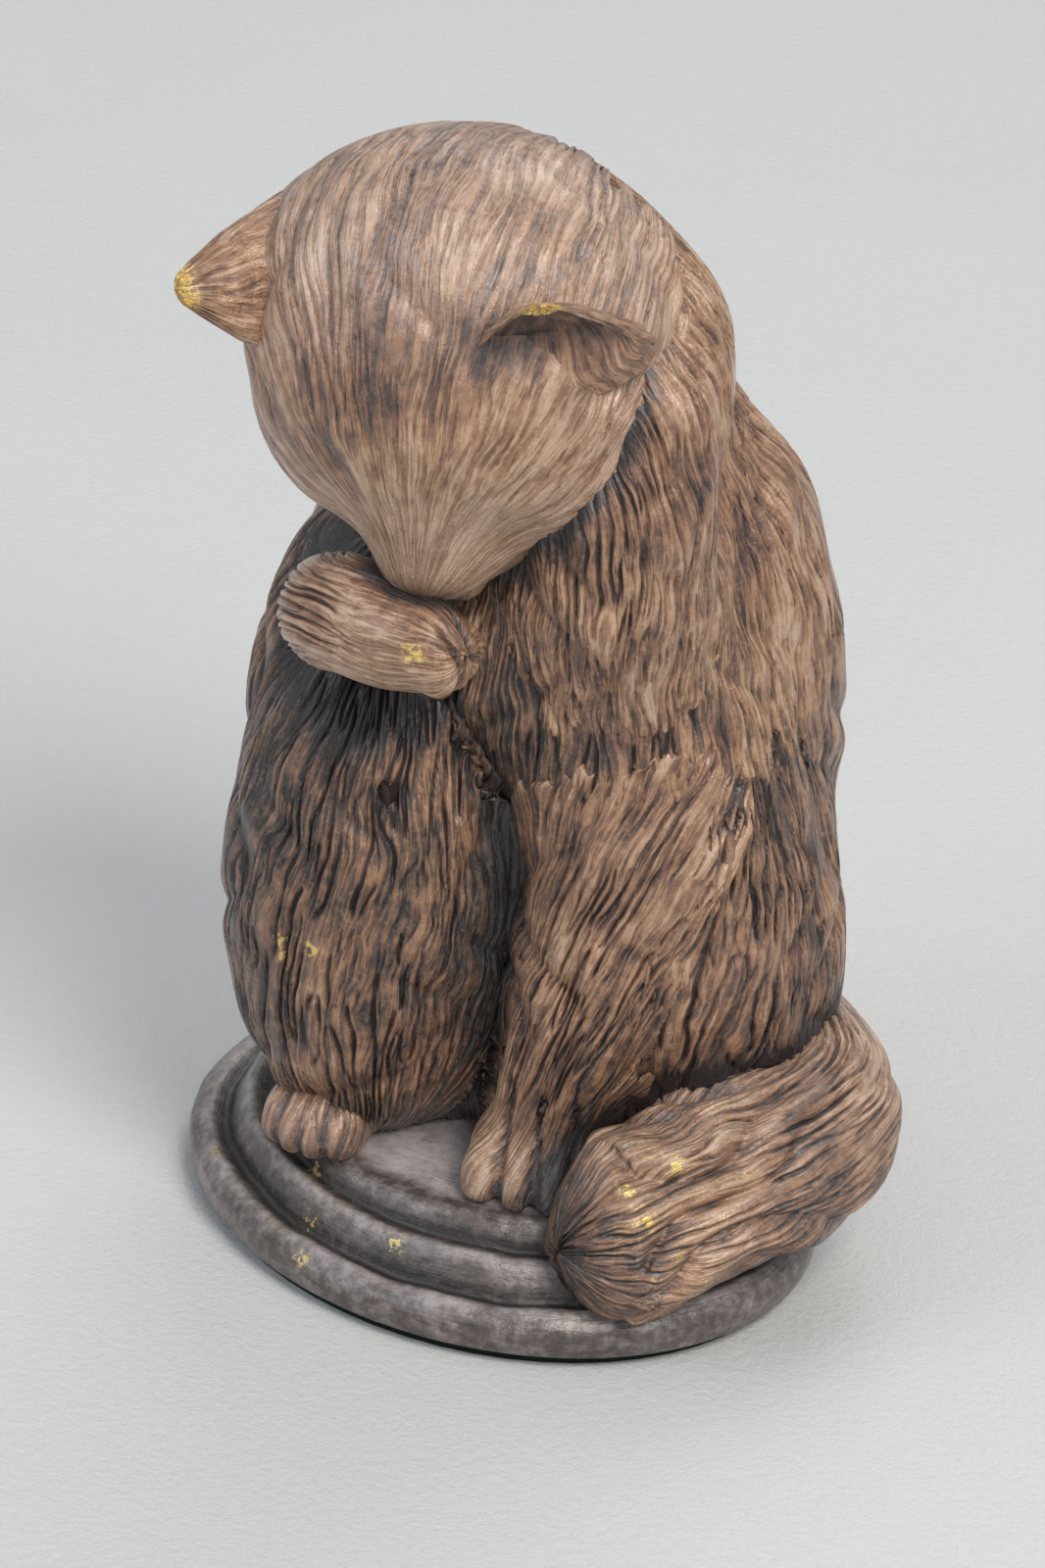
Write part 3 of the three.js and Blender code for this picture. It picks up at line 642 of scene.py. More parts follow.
@dataclass(frozen=True)
class Fur:
    """Carved hair: long wavy ridges that part and meet again, with finer cuts in them.

    Ridges are ridge wide and length long, with grooves of half width cut and the given depth. The finer cuts
    are finer times that size and fine times that depth. Lock is the height of the tufts, lock_size their size
    across and along. Sway and waver are how far the hair wanders sideways. All are in millimetres.
    """

    seed: int
    ridge: float = 1.0
    length: float = 6.0
    cut: float = 0.10
    depth: float = 0.36
    fine: float = 0.5
    finer: float = 0.62
    lock: float = 0.16
    lock_size: tuple[float, float] = (2.8, 8.0)
    sway: float = 1.2
    waver: float = 0.5

    def groove(self, skin: Skin, noise: Array, width: float, cell: float) -> Array:
        """How deep a groove is that follows a noise's zero line at an even width.

        exp(-(d / width)^2) with d = |n| / |slope of n|, faded out where the slope is slack.

        Args:
            skin: the skin that the noise lies on.
            noise: its values.
            width: the groove's half width in millimetres.
            cell: the noise's cell size across the hair.

        Returns:
            0 to 1.
        """
        slope = skin.steepness(noise)
        away = np.abs(noise) / np.maximum(slope, 0.25 / cell)
        return bell(away, width) * smoothstep(0.3 / cell, 0.8 / cell, slope)

    def carve(
        self,
        skin: Skin,
        strength: Array | float = 1.0,
        drift: Array | float = 0.0,
        locks: Array | float = 0.0,
    ) -> Skin:
        """Pushes the grooves into a skin and keeps how deep each place is.

        Height = locks + tufts - depth * (groove + a wider, shallower one + the finer cuts), less the 97th
        percentile of the carving, which sets the ridges level with the smooth skin. The hair's way round is
        moved by a drift, a broad sway and a small waver before the grooves are drawn.

        Args:
            skin: the smooth skin, with rows along the hair.
            strength: how strongly the fur is carved at each place, 0 to 1.
            drift: how far the hair has moved round by each place, in millimetres.
            locks: height of the broad locks beneath, in millimetres.

        Returns:
            The carved skin, with the values groove and tone added.
        """
        broad, small, main, fade, second, tuft, shade = (Noise(self.seed * 16 + k) for k in range(7))
        plain = skin.tube()
        moved = drift + self.sway * broad.at(plain, (12, 12, 18))
        moved = moved + self.waver * small.at(skin.tube(moved), (3.2, 3.2, 4.6))
        moved = moved + 0.3 * self.waver * small.at(skin.tube(moved), (1.2, 1.2, 1.7))
        flow = skin.tube(moved)
        lines = main.at(flow, (self.ridge, self.ridge, self.length))
        fading = 0.55 + 0.45 * smoothstep(-0.35, 0.1, fade.at(flow, (2.4, 2.4, 6.0)))
        deep = self.groove(skin, lines, self.cut, self.ridge) * fading
        wide = self.groove(skin, lines, 2.2 * self.cut, self.ridge) * fading
        small_ridge = self.finer * self.ridge
        small_lines = second.at(flow, (small_ridge, small_ridge, 0.6 * self.length))
        cuts = self.groove(skin, small_lines, 0.7 * self.cut, small_ridge)
        cuts = cuts * smoothstep(-0.35, 0.25, fade.at(flow + 40.0, (2.6, 2.6, 6.0)))
        tufts = tuft.at(flow, (self.lock_size[0], self.lock_size[0], self.lock_size[1]))
        height = self.lock * tufts - self.depth * (0.7 * deep + 0.45 * wide + self.fine * cuts)
        height = strength * height
        carved = skin.pushed(locks + np.minimum(height - np.percentile(height, 97), 0.1))
        crease = np.clip(-1.6 * locks - 0.2, 0, 0.2) * np.ones(deep.shape)
        carved.values["groove"] = np.clip((deep + 0.1 * wide + 0.7 * cuts) * strength + crease, 0, 1)
        carved.values["tone"] = shade.at(flow, (1.1, 1.1, 6.0)) + 0.4 * tufts
        carved.flow = flow
        return carved


# Shader maths


class Wire:
    """A node socket that takes part in Python expressions; each operation adds a Math node."""

    def __init__(self, maker: "Maker", socket: bpy.types.NodeSocket) -> None:
        """Keeps the maker and the socket."""
        self.maker = maker
        self.socket = socket

    def _math(self, operation: str, *values: Any) -> "Wire":
        """A Math node's result."""
        return self.maker.node("ShaderNodeMath", {"operation": operation}, dict(enumerate(values)))

    def __add__(self, other: Any) -> "Wire":
        """self + other."""
        return self._math("ADD", self, other)

    __radd__ = __add__

    def __mul__(self, other: Any) -> "Wire":
        """self * other."""
        return self._math("MULTIPLY", self, other)

    __rmul__ = __mul__

    def __sub__(self, other: Any) -> "Wire":
        """self - other."""
        return self._math("SUBTRACT", self, other)

    def __rsub__(self, other: Any) -> "Wire":
        """other - self."""
        return self._math("SUBTRACT", other, self)

    def clamp(self) -> "Wire":
        """The value held between 0 and 1."""
        return self.maker.node("ShaderNodeClamp", {}, {"Value": self})

    def step(self, low: float, high: float) -> "Wire":
        """0 below low, 1 above high, smooth between.

        Args:
            low: where the step starts.
            high: where it ends.

        Returns:
            The stepped value.
        """
        settings = {"interpolation_type": "SMOOTHSTEP"}
        return self.maker.node(
            "ShaderNodeMapRange", settings, {"Value": self, "From Min": low, "From Max": high}
        )


class Maker:
    """Makes the nodes of one material."""

    def __init__(self, name: str) -> None:
        """Starts a material with a Principled shader.

        Args:
            name: the material's name.
        """
        self.material = bpy.data.materials.new(name)
        self.material.use_nodes = True
        self.tree = self.material.node_tree
        self.shader = next(n for n in self.tree.nodes if n.type == "BSDF_PRINCIPLED")

    def feed(self, socket: bpy.types.NodeSocket, value: Any) -> None:
        """Links a wire to a socket or sets it to a constant.

        Args:
            socket: the socket fed.
            value: a wire, a number, or a colour without its alpha, which is 1.
        """
        if isinstance(value, Wire):
            self.tree.links.new(value.socket, socket)
        elif socket.type == "RGBA":
            socket.default_value = (*value, 1)
        else:
            socket.default_value = value

    def node(self, kind: str, settings: dict[str, Any], inputs: dict[Any, Any], output: Any = 0) -> Wire:
        """Adds a node.

        Args:
            kind: the node's type.
            settings: its properties, set first.
            inputs: values or wires by socket name or number.
            output: which output is wanted.

        Returns:
            The wanted output.
        """
        made = self.tree.nodes.new(kind)
        for key, value in settings.items():
            setattr(made, key, value)
        for key, value in inputs.items():
            self.feed(made.inputs[key], value)
        return Wire(self, made.outputs[output])

    def value(self, name: str) -> Wire:
        """A value that the mesh carries."""
        return self.node("ShaderNodeAttribute", {"attribute_name": name}, {}, "Fac")

    def place(self, stretch: Sequence[float] = (1, 1, 1)) -> Wire:
        """Object coordinates in metres, times a stretch."""
        source = self.node("ShaderNodeTexCoord", {}, {}, "Object")
        return self.node("ShaderNodeMapping", {}, {"Vector": source, "Scale": stretch})

    def flow(self, stretch: Sequence[float]) -> Wire:
        """Places along the hair in millimetres, times a stretch."""
        source = self.node("ShaderNodeAttribute", {"attribute_name": "flow"}, {}, "Vector")
        return self.node("ShaderNodeMapping", {}, {"Vector": source, "Scale": stretch})

    def noise(self, place: Wire, scale: float, detail: float = 3.0, rough: float = 0.55) -> Wire:
        """Noise from 0 to 1.

        Args:
            place: where it is read.
            scale: how many lumps go into a unit of place.
            detail: how many finer layers it has.
            rough: how strong those are.

        Returns:
            The noise.
        """
        return self.node(
            "ShaderNodeTexNoise", {}, {"Vector": place, "Scale": scale, "Detail": detail, "Roughness": rough}
        )

    def ramp(self, factor: Wire, stops: Sequence[tuple[float, Sequence[float]]]) -> Wire:
        """A colour ramp.

        Args:
            factor: where on the ramp.
            stops: places on it, 0 to 1, with their colours.

        Returns:
            The colour.
        """
        made = self.tree.nodes.new("ShaderNodeValToRGB")
        elements = made.color_ramp.elements
        while len(elements) < len(stops):
            elements.new(0.5)
        for element, (position, colour) in zip(elements, stops):
            element.position = position
            element.color = (*colour, 1)
        self.feed(made.inputs["Fac"], factor)
        return Wire(self, made.outputs["Color"])

    def mix(self, factor: Wire, first: Any, second: Any, blend: str = "MIX") -> Wire:
        """Two colours mixed.

        Args:
            factor: the second one's share.
            first: a wire or a colour.
            second: a wire or a colour.
            blend: how they are mixed.

        Returns:
            The colour.
        """
        made = self.tree.nodes.new("ShaderNodeMix")
        made.data_type = "RGBA"
        made.blend_type = blend
        made.clamp_result = True
        for number, value in ((0, factor), (6, first), (7, second)):
            self.feed(made.inputs[number], value)
        return Wire(self, made.outputs[2])

    def bump(self, height: Wire, strength: float, distance: float, under: Wire | None = None) -> Wire:
        """Bumps from a height.

        Args:
            height: the height, 0 to 1.
            strength: how much of it shows.
            distance: what a height of 1 stands for, in metres.
            under: bumps that lie beneath.

        Returns:
            The normal.
        """
        inputs: dict[Any, Any] = {"Height": height, "Strength": strength, "Distance": distance}
        if under is not None:
            inputs["Normal"] = under
        return self.node("ShaderNodeBump", {}, inputs)

    def finish(self, **sockets: Any) -> bpy.types.Material:
        """Sets or links the shader's own sockets.

        Args:
            sockets: values or wires by the sockets' names, with underscores for spaces.

        Returns:
            The material.
        """
        for key, value in sockets.items():
            self.feed(self.shader.inputs[key.replace("_", " ")], value)
        return self.material


@dataclass(frozen=True)
class FurPatina:
    """Brown patina on carved fur: near black in the grooves, copper on the ridges, gold where worn."""

    name: str = "fur_patina"
    black: Place = (0.027, 0.021, 0.022)
    umber: Place = (0.090, 0.056, 0.045)
    chestnut: Place = (0.215, 0.115, 0.073)
    copper: Place = (0.385, 0.216, 0.126)
    tan: Place = (0.540, 0.372, 0.258)
    gold: Place = (0.84, 0.60, 0.20)
    dust_and_sheen: Place = (0.450, 0.415, 0.395)
    violet: Place = (0.66, 0.60, 0.68)

    def build(self) -> bpy.types.Material:
        """Makes the material.

        Returns:
            The material.
        """
        m = Maker(self.name)
        groove, rub_and_shading, tone = m.value("groove"), m.value("rub_and_shading"), m.value("tone")
        dust_and_sheen, worn = m.value("dust_and_sheen"), m.value("worn")
        place = m.place()
        patch = m.noise(place, 230, 3, 0.6)
        mottle = m.noise(place, 1000, 4, 0.65)
        grain = m.noise(place, 5200, 2, 0.5)
        hair = m.noise(m.flow((3.0, 3.0, 0.34)), 1.0, 3, 0.6)
        strand = hair.step(0.38, 0.56)
        # The rub value holds the rubbed patches together with the painted light and painted shade that the
        # pieces add to it.
        shade = rub_and_shading + 0.2 * tone + 0.45 * (patch - 0.5) + 0.9 * (mottle - 0.5) + 0.34 * (strand - 0.6)
        shade = (shade - 0.6 * groove).clamp()
        colours = (self.black, self.umber, self.chestnut, self.copper, self.tan)
        cool = m.noise(place, 110, 2).step(0.42, 0.62) * 0.3
        ramp = m.ramp(shade, list(zip((0.0, 0.2, 0.45, 0.72, 1.0), colours)))
        colour = m.mix(cool, ramp, self.violet, "MULTIPLY")
        flecks = (m.noise(place, 2600, 3, 0.6) + 0.06 * worn).step(0.54, 0.66)
        bright = (worn * (1 - groove * 1.6)).clamp() * flecks
        colour = m.mix(bright, colour, self.gold)
        # Pale dust; on the top of the head it also stands for painted sheen.
        dust_and_sheen_mask = (dust_and_sheen * m.noise(place, 2400, 3, 0.7).step(0.28, 0.66)).clamp()
        colour = m.mix(dust_and_sheen_mask * 0.75, colour, self.dust_and_sheen)
        shine = m.noise(place, 620, 2, 0.5)
        roughness = (0.31 + 0.22 * groove + 0.3 * (shine - 0.45) + 0.14 * (grain - 0.5) + 0.4 * dust_and_sheen_mask).clamp()
        metallic = (0.2 + 0.7 * bright - 0.2 * dust_and_sheen_mask - 0.1 * groove).clamp()
        lines = m.bump(hair + 0.25 * strand, 0.8, 0.0003)
        pits = m.bump(grain * 0.8 + mottle, 0.5, 0.00016, lines)
        return m.finish(
            Base_Color=colour,
            Roughness=roughness,
            Metallic=metallic,
            Normal=pits,
            Coat_Weight=0.45,
            Coat_Roughness=0.3,
        )


@dataclass(frozen=True)
class BasePatina:
    """Nearly black patina on the base: a grey bloom on the flat top, the same grey as painted highlight along
    the crests of the steps, and gold where the steps are rubbed.
    """

    name: str = "base_patina"
    black: Place = (0.034, 0.029, 0.028)
    umber: Place = (0.112, 0.090, 0.082)
    grey: Place = (0.320, 0.278, 0.270)
    bloom_and_sheen: Place = (0.500, 0.455, 0.460)
    gold: Place = (0.62, 0.46, 0.17)

    def build(self) -> bpy.types.Material:
        """Makes the material.

        Returns:
            The material.
        """
        m = Maker(self.name)
        groove, dust_and_sheen, worn = m.value("groove"), m.value("dust_and_sheen"), m.value("worn")
        place = m.place()
        patch = m.noise(place, 210, 4, 0.6)
        mottle = m.noise(place, 1300, 4, 0.65)
        grain = m.noise(place, 5600, 2, 0.5)
        strokes = m.noise(m.flow((0.5, 0.5, 4.5)), 1.0, 3, 0.6)
        tone = 0.52 - 0.6 * groove + 0.4 * dust_and_sheen + (patch - 0.5) + 1.5 * (mottle - 0.5)
        tone = (tone + 0.4 * (strokes - 0.5)).clamp()
        colour = m.ramp(tone, [(0.0, self.black), (0.45, self.umber), (1.0, self.grey)])
        # Along the crests of the steps this bloom is painted highlight; on the flat top it is dust.
        bloom_and_sheen = (dust_and_sheen * (0.55 + 0.9 * (mottle - 0.5) + 0.7 * (patch - 0.5))).clamp()
        colour = m.mix(bloom_and_sheen, colour, self.bloom_and_sheen)
        fleck = worn.clamp() * (m.noise(place, 3000, 3, 0.55) + 0.05 * worn).step(0.56, 0.66)
        colour = m.mix(fleck, colour, self.gold)
        roughness = (0.34 + 0.2 * groove + 0.4 * bloom_and_sheen + 0.25 * (mottle - 0.5)).clamp()
        metallic = (0.3 + 0.65 * fleck - 0.3 * bloom_and_sheen).clamp()
        lines = m.bump(strokes, 0.3, 0.0003)
        pits = m.bump(grain * 0.5 + mottle, 0.5, 0.00016, lines)
        return m.finish(
            Base_Color=colour,
            Roughness=roughness,
            Metallic=metallic,
            Normal=pits,
            Coat_Weight=0.35,
            Coat_Roughness=0.3,
        )


@dataclass(frozen=True)
class BareMetal:
    """Turned rod, screws and washers: fine rings of brightness on plain metal."""

    name: str
    colour: Place
    metallic: float = 1.0

    def build(self) -> bpy.types.Material:
        """Makes the material.

        Returns:
            The material.
        """
        m = Maker(self.name)
        streak = m.noise(m.place((1, 1, 9)), 900, 3, 0.6)
        dark = tuple(0.6 * c for c in self.colour)
        colour = m.mix(streak.step(0.3, 0.7), dark, self.colour)
        rough = 0.3 + 0.2 * streak
        rings = m.bump(streak, 0.2, 0.00005)
        return m.finish(Base_Color=colour, Roughness=rough, Metallic=self.metallic, Normal=rings)


@dataclass(frozen=True)
class Felt:
    """Felt with its fibres pressed flat."""

    name: str
    low: Place
    high: Place
    scale: float = 1.0

    def build(self) -> bpy.types.Material:
        """Makes the material.

        Returns:
            The material.
        """
        m = Maker(self.name)
        place = m.place()
        fibre = m.noise(place, 2600 * self.scale, 5, 0.75)
        cloud = m.noise(place, 60 * self.scale, 4, 0.6)
        colour = m.mix((0.65 * fibre + 0.5 * cloud - 0.08).clamp(), self.low, self.high)
        return m.finish(
            Base_Color=colour, Roughness=0.95, Specular_IOR_Level=0.15, Normal=m.bump(fibre, 0.6, 0.0004)
        )


def place_piece(
    skin: Skin, name: str, material: bpy.types.Material, nodes: Sequence[str] = ()
) -> None:
    """Puts a skin in the scene as a piece of the cat.

    Args:
        skin: the finished skin.
        name: the piece's name.
        material: what it is made of.
        nodes: the CAD nodes that it stands for.
    """
    mesh = skin.mesh(name)
    piece = bpy.data.objects.new(mesh.name, mesh)
    bpy.context.scene.collection.objects.link(piece)
    mesh.materials.append(material)
    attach(piece, "root")
    if nodes:
        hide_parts(*nodes)
    log.info("%s: %d faces", mesh.name, len(mesh.polygons))


# The cat's forms, as in the solids


@dataclass(frozen=True)
class Body:
    """Trunk, haunches, neck, nape and mane as eggs with centres and half sizes, and the ruff as rods."""

    rump: Form = deck_egg((-0.2, 5.4, 11.0), (19.0, 11.7, 17.0))
    back: Form = deck_egg((0.1, 4.4, 25.0), (19.4, 11.6, 26.0))
    shoulder: Form = deck_egg((8.4, 2.6, 35.5), (9.2, 9.0, 15.0))
    right_haunch: Form = deck_egg((-9.7, -2.5, 17.6), (10.0, 9.6, 18.7))
    left_haunch: Form = deck_egg((12.2, -0.4, 11.2), (8.7, 8.6, 15.5))
    thigh: Form = deck_egg((10.4, -4.2, 17.0), (8.2, 8.6, 15.5))
    chest: Form = deck_egg((2.2, -4.6, 37.5), (9.4, 8.2, 12.0))
    neck: Form = Cone(tuple(on_deck((1.2, 0.6, 42.0))), tuple(on_deck((0.6, 0.4, 49.6))), 9.6, 9.6)
    nape: Form = deck_egg((-5.0, -3.0, 55.6), (12.3, 11.4, 12.6))
    mane: Form = deck_egg((1.0, -4.6, 55.2), (8.6, 7.6, 9.0))
    ruff: Form = rods(
        1.5,
        (
            (4.4, -6.6, 57.6, 4.4),
            (3.8, -9.2, 54.0, 5.4),
            (3.4, -10.2, 49.0, 5.8),
            (3.6, -9.4, 43.0, 5.8),
            (4.0, -7.6, 37.0, 5.2),
        ),
    )
    locks: Locks = Locks(16)
    axis: Path = Path(((0, 4.2, 0, 1), (0, 2.0, 21.5, 1), (0, -0.4, 43.0, 1)))

    def trunk(self) -> Form:
        """Rump, back, shoulder and chest run together."""
        return Blend(3.0, (self.rump, self.back, self.shoulder, self.chest))

    def flank(self) -> Form:
        """The left haunch and thigh."""
        return Blend(3.0, (self.left_haunch, self.thigh))

    def collar(self) -> Form:
        """The neck, the nape and the mane run together, and the ruff that hangs from the left cheek."""
        return Blend(2.4, (Blend(3.0, (self.neck, self.nape, self.mane)), self.ruff))


def paw_form(
    at: Sequence[float], half: Sequence[float], heading: float, toes: int, softness: float = 0.7
) -> Form:
    """A paw: an egg with its toes in a fan in front, each toe an egg.

    Args:
        at: centre as x, y and height above the deck.
        half: half width, half length and half height.
        heading: where it points, in degrees from +X.
        toes: how many toes.
        softness: how far they run together, in millimetres.

    Returns:
        The paw's form.
    """
    width, length, height = half
    toe = (0.62 * 2 * width / toes, 0.5 * length, 0.62 * height)
    eggs: list[Form] = [Egg((0, 0, 0), tuple(half))]
    for k in range(toes):
        across = ((k + 0.5) / toes - 0.5) * 2 * width
        forward = length * 0.66 * math.sqrt(1 - (0.75 * across / width) ** 2)
        eggs.append(Egg((across, forward, -0.22 * height), toe))
    turn = math.radians(heading - 90)
    axes = ((math.cos(turn), math.sin(turn), 0), (-math.sin(turn), math.cos(turn), 0), (0, 0, 1))
    return Turned(Blend(softness, tuple(eggs)), tuple(on_deck(at)), axes)


def toed(
    skin: Skin,
    at: Sequence[float],
    half: Sequence[float],
    heading: float,
    toes: int,
    depth: float,
    width: float = 0.34,
) -> Skin:
    """Presses the creases between a paw's toes into a carved skin and darkens them.

    Across the paw a crease is exp(-(x / width)^2). It begins at the paw's middle and ends a little past it.

    Args:
        skin: the carved skin.
        at: the paw's centre as x, y and height above the deck.
        half: its half width, half length and half height.
        heading: where it points, in degrees from +X.
        toes: how many toes.
        depth: how deep the creases are, in millimetres.
        width: how wide they are.

    Returns:
        The skin with its creases.
    """
    turn = math.radians(heading - 90)
    across = np.array([math.cos(turn), math.sin(turn), 0])
    ahead = np.array([-math.sin(turn), math.cos(turn), 0])
    away = skin.points - on_deck(at)
    side, front = away @ across, (away @ ahead) / half[1]
    near = smoothstep(1.6, 1.3, np.linalg.norm(away, axis=-1) / max(half)) * smoothstep(0.1, 0.7, front)
    lines = [(k / toes - 0.5) * 2 * half[0] * (0.9 + 0.12 * front) for k in range(1, toes)]
    crease = near * sum(bell(side - line, width) for line in lines)
    pressed = skin.pushed(-depth * crease)
    pressed.darken((0.4 + depth) * crease)
    return pressed


def flecked(skin: Skin, places: Sequence[Place], radius: float, gold: float = 3) -> None:
    """Adds gold where the patina is worn through: gold * exp(-(d / radius)^2) about each place.

    Args:
        skin: the skin, whose worn value is changed.
        places: where it is worn, in millimetres.
        radius: how far, in millimetres.
        gold: how much the worn value rises.
    """
    skin.values["worn"] = skin.values["worn"] + gold * sum(skin.near(place, radius) for place in places)


def rubbed(skin: Skin, seed: int, level: float, spread: float) -> Array:
    """How far the patina is rubbed off: a level with broad patches about it.

    Args:
        skin: the piece.
        seed: which patches.
        level: the mean.
        spread: how far the patches differ from it.

    Returns:
        The value at each grid point.
    """
    broad = 0.8 * Noise(seed).at(skin.points, (9, 9, 12))
    small = 0.5 * Noise(seed + 1).at(skin.points, (3, 3, 5))
    return level + spread * (broad + small)


def paint_contact_shade(
    skin: Skin, others: Sequence[Form], reach: float, groove: float = 0.6, rub_and_shading: float = 0.45
) -> None:
    """Paints shade into a skin where another part comes close: exp(-(d / reach)^2), d the distance to that
    part.

    Args:
        skin: the skin, whose groove and rub values are changed to paint the shade.
        others: the parts beside it.
        reach: how far off the painted shade begins, in millimetres.
        groove: how much the value groove rises where they touch, as painted shade.
        rub_and_shading: how much the rub value falls there, as painted shade.
    """
    gap = np.min([form.distance(skin.points) for form in others], axis=0)
    near = bell(np.maximum(gap, 0.0), reach)
    skin.darken(groove * near)
    skin.values["rub_and_shading"] = skin.values["rub_and_shading"] - rub_and_shading * near


def sunk(run: Array, depth: float) -> Array:
    """Height of a limb's root in millimetres: sunk by the depth up to 6 mm along it, and level from 15 mm."""
    return -depth * smoothstep(15.0, 6.0, run)


def tucked(skin: Skin, own: Form, softness: float, centres: Array) -> Skin:
    """Sinks a skin's border, so that it runs under the part that it blends into, and ends in tufts.

    The skin moves towards the nearest of the centres by a depth of 1.5 mm times a step of its distance from
    its own form, from 0.36 to 0.66 of the softness. Noise drawn out along the hair moves that border about.

    Args:
        skin: the smooth skin.
        own: the form that the piece is about.
        softness: how far it blends, in millimetres.
        centres: points on the axis that the skin was cast from.

    Returns:
        The skin with its border sunk.
    """
    depth, starts, ends = 1.5, 0.36 * softness, 0.66 * softness
    tufts = Noise(7).at(skin.tube(), (1.1, 1.1, 5.0)) + 0.6 * Noise(8).at(skin.tube(), (3.0, 3.0, 8.0))
    beyond = own.distance(skin.points) + 0.3 * softness * np.maximum(tufts, -0.3)
    gaps = np.stack([np.linalg.norm(skin.points - centre, axis=-1) for centre in centres])
    inward = unit(centres[np.argmin(gaps, axis=0)] - skin.points)
    sink = depth * smoothstep(starts, ends, beyond)
    return Skin(skin.points + sink[..., None] * inward)


@dataclass
class Figure:
    """The cat's body: trunk, haunches, legs and feet, each a carved skin.

    A paw is its centre, half sizes, heading and toes. Blend is how far the parts of the shared surface run
    into each other, haunch_blend the same for the right haunch and paw_blend for the standing leg's paw.
    """

    finish: bpy.types.Material
    face: Form
    tail: Form
    body: Body = field(default_factory=Body)
    standing: Path = Path(
        (
            (7.6, 0.4, 35.0, 6.0),
            (6.8, -3.8, 32.0, 7.2),
            (6.2, -6.4, 27.0, 6.9),
            (5.2, -8.3, 20.0, 5.6),
            (4.0, -9.0, 12.0, 4.6),
            (2.9, -9.1, 6.0, 3.8),
            (2.4, -9.1, 0.0, 3.6),
        )
    )
    raised: Path = Path(
        (
            (-7.6, 0.6, 34.6, 6.4),
            (-11.2, -4.4, 36.0, 5.0),
            (-13.4, -8.4, 38.8, 3.9),
            (-12.4, -12.2, 40.4, 3.5),
            (-9.8, -14.6, 40.6, 3.3),
            (-8.2, -15.8, 40.8, 3.0),
        )
    )
    standing_paw: tuple = ((2.2, -9.6, 2.1), (4.6, 4.2, 3.9), -94, 4)
    raised_paw: tuple = ((-7.4, -16.2, 40.8), (2.8, 2.8, 2.7), -20, 4)
    right_foot: tuple = ((-11.6, -5.0, 1.9), (3.2, 4.2, 3.0), -112, 4)
    left_foot: tuple = ((9.4, -6.8, 1.5), (3.0, 3.8, 2.6), -82, 4)
    pin_end: Place = (4.4, -12.8, 33.9)
    haunch_flecks: tuple = ((-15.4, -10.0, 23.4), (-15.2, -10.2, 22.4), (-13.3, -11.5, 23.8))
    paw_flecks: tuple = ((-8.2, -18.8, 48.6), (-6.4, -18.6, 48.4))
    core_marks: tuple = ((-9.2, -10.9, 34.7), (-15.0, -9.3, 25.4), (6.6, -12.6, 34.0), (9.4, -8.4, 25.0))
    mark_radius: float = 0.8
    mark_depth: float = 0.5
    blend: float = 3.2
    haunch_blend: float = 2.4
    paw_blend: float = 1.0

    def whole(self) -> Form:
        """Trunk, collar, left flank and standing leg as the one surface that their skins share."""
        body = self.body
        return Blend(self.blend, (body.trunk(), body.collar(), body.flank(), self.standing.form()))

    def cut_out(
        self,
        whole: Form,
        own: Form,
        blend: float,
        axis: Path,
        coarse: tuple[int, int],
        fine: tuple[int, int],
    ) -> Skin:
        """One part's piece of a shared surface, cast from an upright axis, with its border tucked in.

        Args:
            whole: the shared surface.
            own: the part's own form.
            blend: how far it runs into the others, in millimetres.
            axis: the line inside it.
            coarse: columns and rows that are cast.
            fine: columns and rows of the finished grid.

        Returns:
            The smooth skin.
        """
        smooth = Skin.along(Common(whole, own.grown(blend)), axis, *coarse, FAN, TO_BACK).finer(*fine)
        return tucked(smooth, own, blend, axis.centres())

    def marked(self, skin: Skin) -> Skin:
        """Presses the round core marks into a skin as shallow pits.

        Args:
            skin: the carved skin.

        Returns:
            The skin with the marks that lie on it.
        """
        dip = sum(skin.near(mark, self.mark_radius) for mark in self.core_marks)
        pressed = skin.pushed(-self.mark_depth * dip)
        pressed.darken(dip)
        return pressed

    def dressed(self, skin: Skin, seed: int, rub_and_shading: float, spread: float = 0.3, worn: float = 0.1) -> Skin:
        """Adds what the finish reads to a carved skin: rub, dust and worn.

        Args:
            skin: the carved skin.
            seed: which patches.
            rub_and_shading: how far it is rubbed on the whole.
            spread: how far the patches differ.
            worn: how much gold shows.

        Returns:
            The same skin with its values.
        """
        height = skin.points[..., 2]
        low = 1 - smoothstep(DECK, DECK + 7.0, height)
        skin.values["rub_and_shading"] = rubbed(skin, seed, rub_and_shading, spread) - 0.3 * low
        skin.values["dust_and_sheen"] = 0.5 * (1 - smoothstep(DECK + 0.5, DECK + 5.5, height))
        skin.values["worn"] = np.full(height.shape, worn)
        return skin

    def trunk(self) -> None:
        """The trunk from the deck to the shoulders, pushed in a little, so that its neighbours cover it."""
        form = Common(self.whole(), self.body.trunk().grown(self.blend))
        smooth = Skin.along(form, self.body.axis, 220, 60, FAN, TO_BACK).finer(900, 110).pushed(-0.12)
        carved = Fur(11).carve(smooth, locks=self.body.locks.body(smooth.points))
        skin = self.dressed(self.marked(carved), 31, 0.5)
        x, z = skin.points[..., 0], skin.points[..., 2]
        # Lighter on the upper left shoulder: lighter tan patina together with painted highlight where the
        # lamps fall.
        skin.values["rub_and_shading"] += 0.2 * smoothstep(6, 14, x) * smoothstep(DECK + 26, DECK + 40, z)
        # Painted shade where the right haunch, the raised leg and the tail come close.
        paint_contact_shade(skin, (self.body.right_haunch, self.raised.form()), 1.8)
        paint_contact_shade(skin, (self.tail,), 1.2)
        place_piece(skin, "trunk", self.finish, ["body_casting"])

